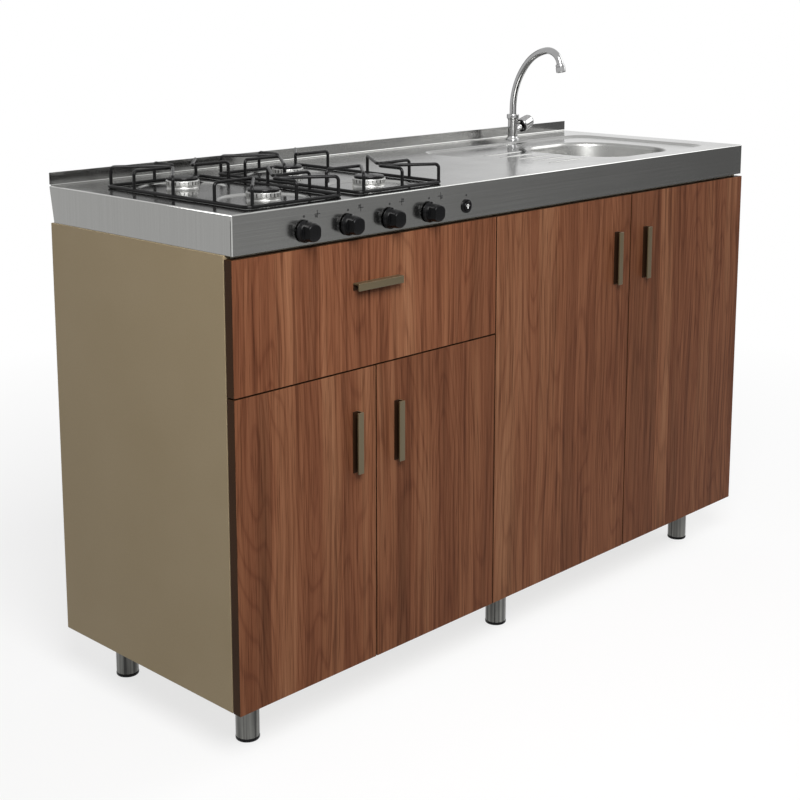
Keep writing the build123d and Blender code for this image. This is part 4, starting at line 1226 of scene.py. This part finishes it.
# Bar handles: a channel, whose front plate is drawn back as a web and then across as a thin base
def make_handle(name, node):
    low, high = box_mm(node)
    across = 0 if high.z - low.z > high.x - low.x else 2
    plate, web, base = 3.5, 3.0, 2.0
    plate_back = low.y + plate
    base_front = high.y - base
    web_side = high[across] - web
    piece = block(low, (high.x, plate_back, high.z))
    cut_place, cut_normal, base_reach = Vector((0, 0, 0)), Vector((0, 0, 0)), Vector((0, 0, 0))
    cut_place[across] = web_side
    cut_normal[across] = 1.0
    base_reach[across] = low[across] - web_side
    pick_all(piece)
    bpy.ops.mesh.bisect(plane_co=cut_place, plane_no=cut_normal)
    done()
    pick(piece, "FACE", lambda centre, normal: normal.y > 0.9 and centre[across] > web_side)
    bpy.ops.mesh.extrude_region_move(TRANSFORM_OT_translate={"value": (0, base_front - plate_back, 0)})
    bpy.ops.mesh.extrude_region_move(TRANSFORM_OT_translate={"value": (0, high.y - base_front, 0)})
    done()
    pick(piece, "FACE", lambda centre, normal: normal[across] < -0.9 and centre.y > base_front)
    bpy.ops.mesh.extrude_region_move(TRANSFORM_OT_translate={"value": base_reach})
    done()
    soften(piece, 0.7, 3)

    # Faces on the base plate and inside the channel take the painted shade.
    def is_inside(centre, normal):
        return int(centre.y > plate_back - 0.5 and centre[across] < web_side + 0.1)

    finish_piece(piece, name, node, [bronze, channel_painted_shade], is_inside)


make_front("drawer_face", "drawer_front")
make_handle("drawer_bar_handle", "drawer_handle")
for door in doors:
    make_front(f"{door}_door_board", f"{door}_door")
    make_handle(f"{door}_bar_handle", f"{door}_door_handle")


# Side panels: taupe melamine boards with softened edges, which reach up to the aprons
def make_side(side):
    low, high = box_mm(f"{side}_side_panel")
    apron_clearance = 0.4
    high.z = apron_bottom - apron_clearance
    piece = block(low, high)
    soften(piece, 0.8, 3)
    finish_piece(piece, f"{side}_taupe_side", f"{side}_side_panel", [taupe])


make_side("left")
make_side("right")


# Front rails and partition: carried up behind the apron, so that no light shows under it
def raise_behind_apron(node, depth):
    overlap = 2.0
    piece = smooth_copy(node, cream)
    front_face = box_mm(node)[0].y
    carcass_top = box_mm("partition_panel")[1].z

    def on_front_top(co):
        return co.y * METRE < front_face + depth and near(co.z * METRE, carcass_top)

    pick(piece, "VERT", on_front_top)
    bpy.ops.transform.translate(value=(0, 0, (apron_bottom + overlap - carcass_top) / METRE))
    done()


raise_behind_apron("carcass_rails", depth=16.0)
raise_behind_apron("partition_panel", depth=500.0)


# Legs: chromed tubes on black feet
def make_legs():
    low, high = box_mm("leg_tubes")
    rows = (low.y + leg_radius, high.y - leg_radius)
    columns = (low.x + leg_radius, 0.0, high.x - leg_radius)
    tube = turned(
        [
            (19.8, 6), (20.6, 6), (leg_radius, 6.5), (leg_radius, 97.0), (20.6, 97.5), (19.8, 97.5),
            (19.8, 6),
        ],
        64,
    )
    foot = turned(
        [
            (0, 0), (19.2, 0), (20.6, 0.5), (21.4, 1.6), (21.5, 4.6), (21.2, 5.6), (20.4, 6), (19.7, 6),
            (19.7, 18), (0, 18),
        ],
        64,
    )
    places = [(x, y, 0) for x in columns for y in rows]
    tubes = [copied(tube, place) for place in places]
    feet = [copied(foot, place) for place in places]
    discard(tube, foot)
    finish_piece(join(tubes), "chromed_leg_tubes", "leg_tubes", [leg_chrome])
    finish_piece(join(feet), "black_leg_feet", "leg_feet", [black_plastic])


make_legs()

# Round pieces whose CAD shape is right are copied and smoothed.
for node, material in (
    ("carcass_fixings", zinc),
    ("burner_cups", cast_aluminium),
    ("gas_manifold", zinc),
    ("gas_valves", brass),
    ("burner_pipes", drawn_aluminium),
    *[(f"{door}_hinge_cups", zinc) for door in doors],
):
    smooth_copy(node, material)

# Boards, plates, runners and hinge arms keep their CAD node and take a finish.
for node, material in (
    ("floor_panels", cream),
    ("back_panels", hardboard),
    ("shelf", cream),
    ("drawer_boards", cream),
    ("hinge_arms", zinc),
    ("drawer_runner_rails", zinc),
    ("drawer_slides", zinc),
    ("leg_plates", zinc),
    ("spark_module", black_plastic),
    *[(f"{door}_hinge_links", zinc) for door in doors],
):
    paint(nodes[node], [material])


def seen_rays(tree):
    """A socket that is 1 where a thing is seen, straight or in a mirror, and 0 where it lights."""
    rays = add_node(tree, "ShaderNodeLightPath")
    seen = add_node(
        tree,
        "ShaderNodeMath",
        {0: rays.outputs["Is Camera Ray"], 1: rays.outputs["Is Glossy Ray"]},
        operation="MAXIMUM",
    )
    seen_through = add_node(
        tree,
        "ShaderNodeMath",
        {0: seen.outputs["Value"], 1: rays.outputs["Is Transmission Ray"]},
        operation="MAXIMUM",
    )
    return seen_through.outputs["Value"]


# Floor: pale and plain; the camera sees it almost white, with a soft shadow left in
def make_floor():
    deselect()
    bpy.ops.mesh.primitive_plane_add(size=30)
    floor = bpy.context.object
    floor.name = "floor"
    material, tree, shader, place = new_material("pale_floor")
    shader.inputs["Roughness"].default_value = 0.9
    seen = seen_rays(tree)
    # Less light comes back from the floor than it shows, so the fronts darken towards their feet.
    tone = add_node(tree, "ShaderNodeMapRange", {"Value": seen, "To Min": 0.4, "To Max": 0.85})
    tree.links.new(tone.outputs["Result"], shader.inputs["Base Color"])
    # It glows more with the distance, until it is as white as the world behind it.
    far_place = add_node(tree, "ShaderNodeMapping", {"Vector": place, "Scale": (0.38, 0.38, 0.38)})
    far_off = add_node(
        tree, "ShaderNodeTexGradient", {"Vector": far_place.outputs["Vector"]}, gradient_type="SPHERICAL"
    )
    glow_share = add_node(
        tree,
        "ShaderNodeMapRange",
        {"Value": far_off.outputs["Fac"], "From Max": 0.6, "To Min": 1.0, "To Max": 0.72},
    )
    share = add_node(tree, "ShaderNodeMath", {0: seen, 1: glow_share.outputs["Result"]}, operation="MULTIPLY")
    glow = add_node(tree, "ShaderNodeEmission", {"Color": grey(1.0), "Strength": 1.0})
    mixed = add_node(
        tree,
        "ShaderNodeMixShader",
        {0: share.outputs["Value"], 1: shader.outputs["BSDF"], 2: glow.outputs["Emission"]},
    )
    tree.links.new(mixed.outputs["Shader"], tree.nodes["Material Output"].inputs["Surface"])
    floor.data.materials.append(material)


make_floor()


# World: white where it is seen, softer where it lights
def make_world():
    world = bpy.data.worlds.new("studio")
    bpy.context.scene.world = world
    world.use_nodes = True
    tree = world.node_tree
    background = tree.nodes["Background"]
    strength = add_node(tree, "ShaderNodeMapRange", {"Value": seen_rays(tree), "To Min": 0.4, "To Max": 1.0})
    background.inputs["Color"].default_value = grey(1.0)
    tree.links.new(strength.outputs["Result"], background.inputs["Strength"])


make_world()


# Lamps: a large soft key from the front left, gridded to fade towards the floor, and a fill from the right
def lamp(name, place, target, size, power, spread):
    data = bpy.data.lights.new(name, "AREA")
    data.shape = "DISK"
    data.size = size
    data.energy = power
    data.spread = radians(spread)
    made = bpy.data.objects.new(name, data)
    made.location = place
    made.rotation_euler = (Vector(target) - Vector(place)).to_track_quat("-Z", "Y").to_euler()
    bpy.context.scene.collection.objects.link(made)


lamp("key", (-1.5, -2.0, 2.6), (0, 0, 1.0), 1.8, 43.0, 100)
lamp("fill", (3.2, -1.5, 2.7), (0, 0, 0.8), 2.8, 50.0, 180)


# Grey cards: they stand outside the picture, and only reflections show them
def grey_card(name, ends, height, tones):
    """An upright card between two places on the floor, which glows from one tone to another."""
    deselect()
    bpy.ops.mesh.primitive_plane_add(size=1)
    card = settle()
    card.name = name
    (x0, y0), (x1, y1) = ends
    for vertex in card.data.vertices:
        share = vertex.co.x + 0.5
        vertex.co = (x0 + share * (x1 - x0), y0 + share * (y1 - y0), (vertex.co.y + 0.5) * height)
    material, tree, shader, place = new_material(name)
    split = add_node(tree, "ShaderNodeSeparateXYZ", {"Vector": place})
    share = add_node(
        tree, "ShaderNodeMapRange", {"Value": split.outputs["X"], "From Min": x0, "From Max": x1}
    )
    tone = add_node(
        tree,
        "ShaderNodeValToRGB",
        {"Fac": share.outputs["Result"]},
        stops=((0.0, grey(tones[0])), (1.0, grey(tones[1]))),
    )
    glow = add_node(tree, "ShaderNodeEmission", {"Color": tone.outputs["Color"]})
    tree.links.new(glow.outputs["Emission"], tree.nodes["Material Output"].inputs["Surface"])
    card.data.materials.append(material)
    card.visible_camera = False
    card.visible_diffuse = False
    card.visible_transmission = False
    card.visible_shadow = False


# One beyond the front right gives the front apron its shade.
grey_card("grey_card", ((0.6, -3.1), (4.2, -1.4)), 1.3, (0.55, 0.1))
# Another stands behind the unit, and the worktop mirrors it round the hob.
grey_card("rear_card", ((0.3, 1.7), (2.3, 1.7)), 2.2, (0.2, 0.85))

# Camera at the photograph's angle, with its dip and turn in radians
camera_place = (-2.1929, -2.0004, 1.2812)
camera_dip = 0.1749
camera_turn = -0.8025
camera_data = bpy.data.cameras.new("camera")
camera_data.sensor_width = 36.0
camera_data.lens = 66.05
camera_data.shift_y = -0.185
camera_data.clip_end = 100.0
camera = bpy.data.objects.new("camera", camera_data)
camera.location = camera_place
camera.rotation_euler = (pi / 2 - camera_dip, 0.0, camera_turn)
bpy.context.scene.collection.objects.link(camera)
bpy.context.scene.camera = camera

bpy.context.scene.view_settings.view_transform = "Standard"
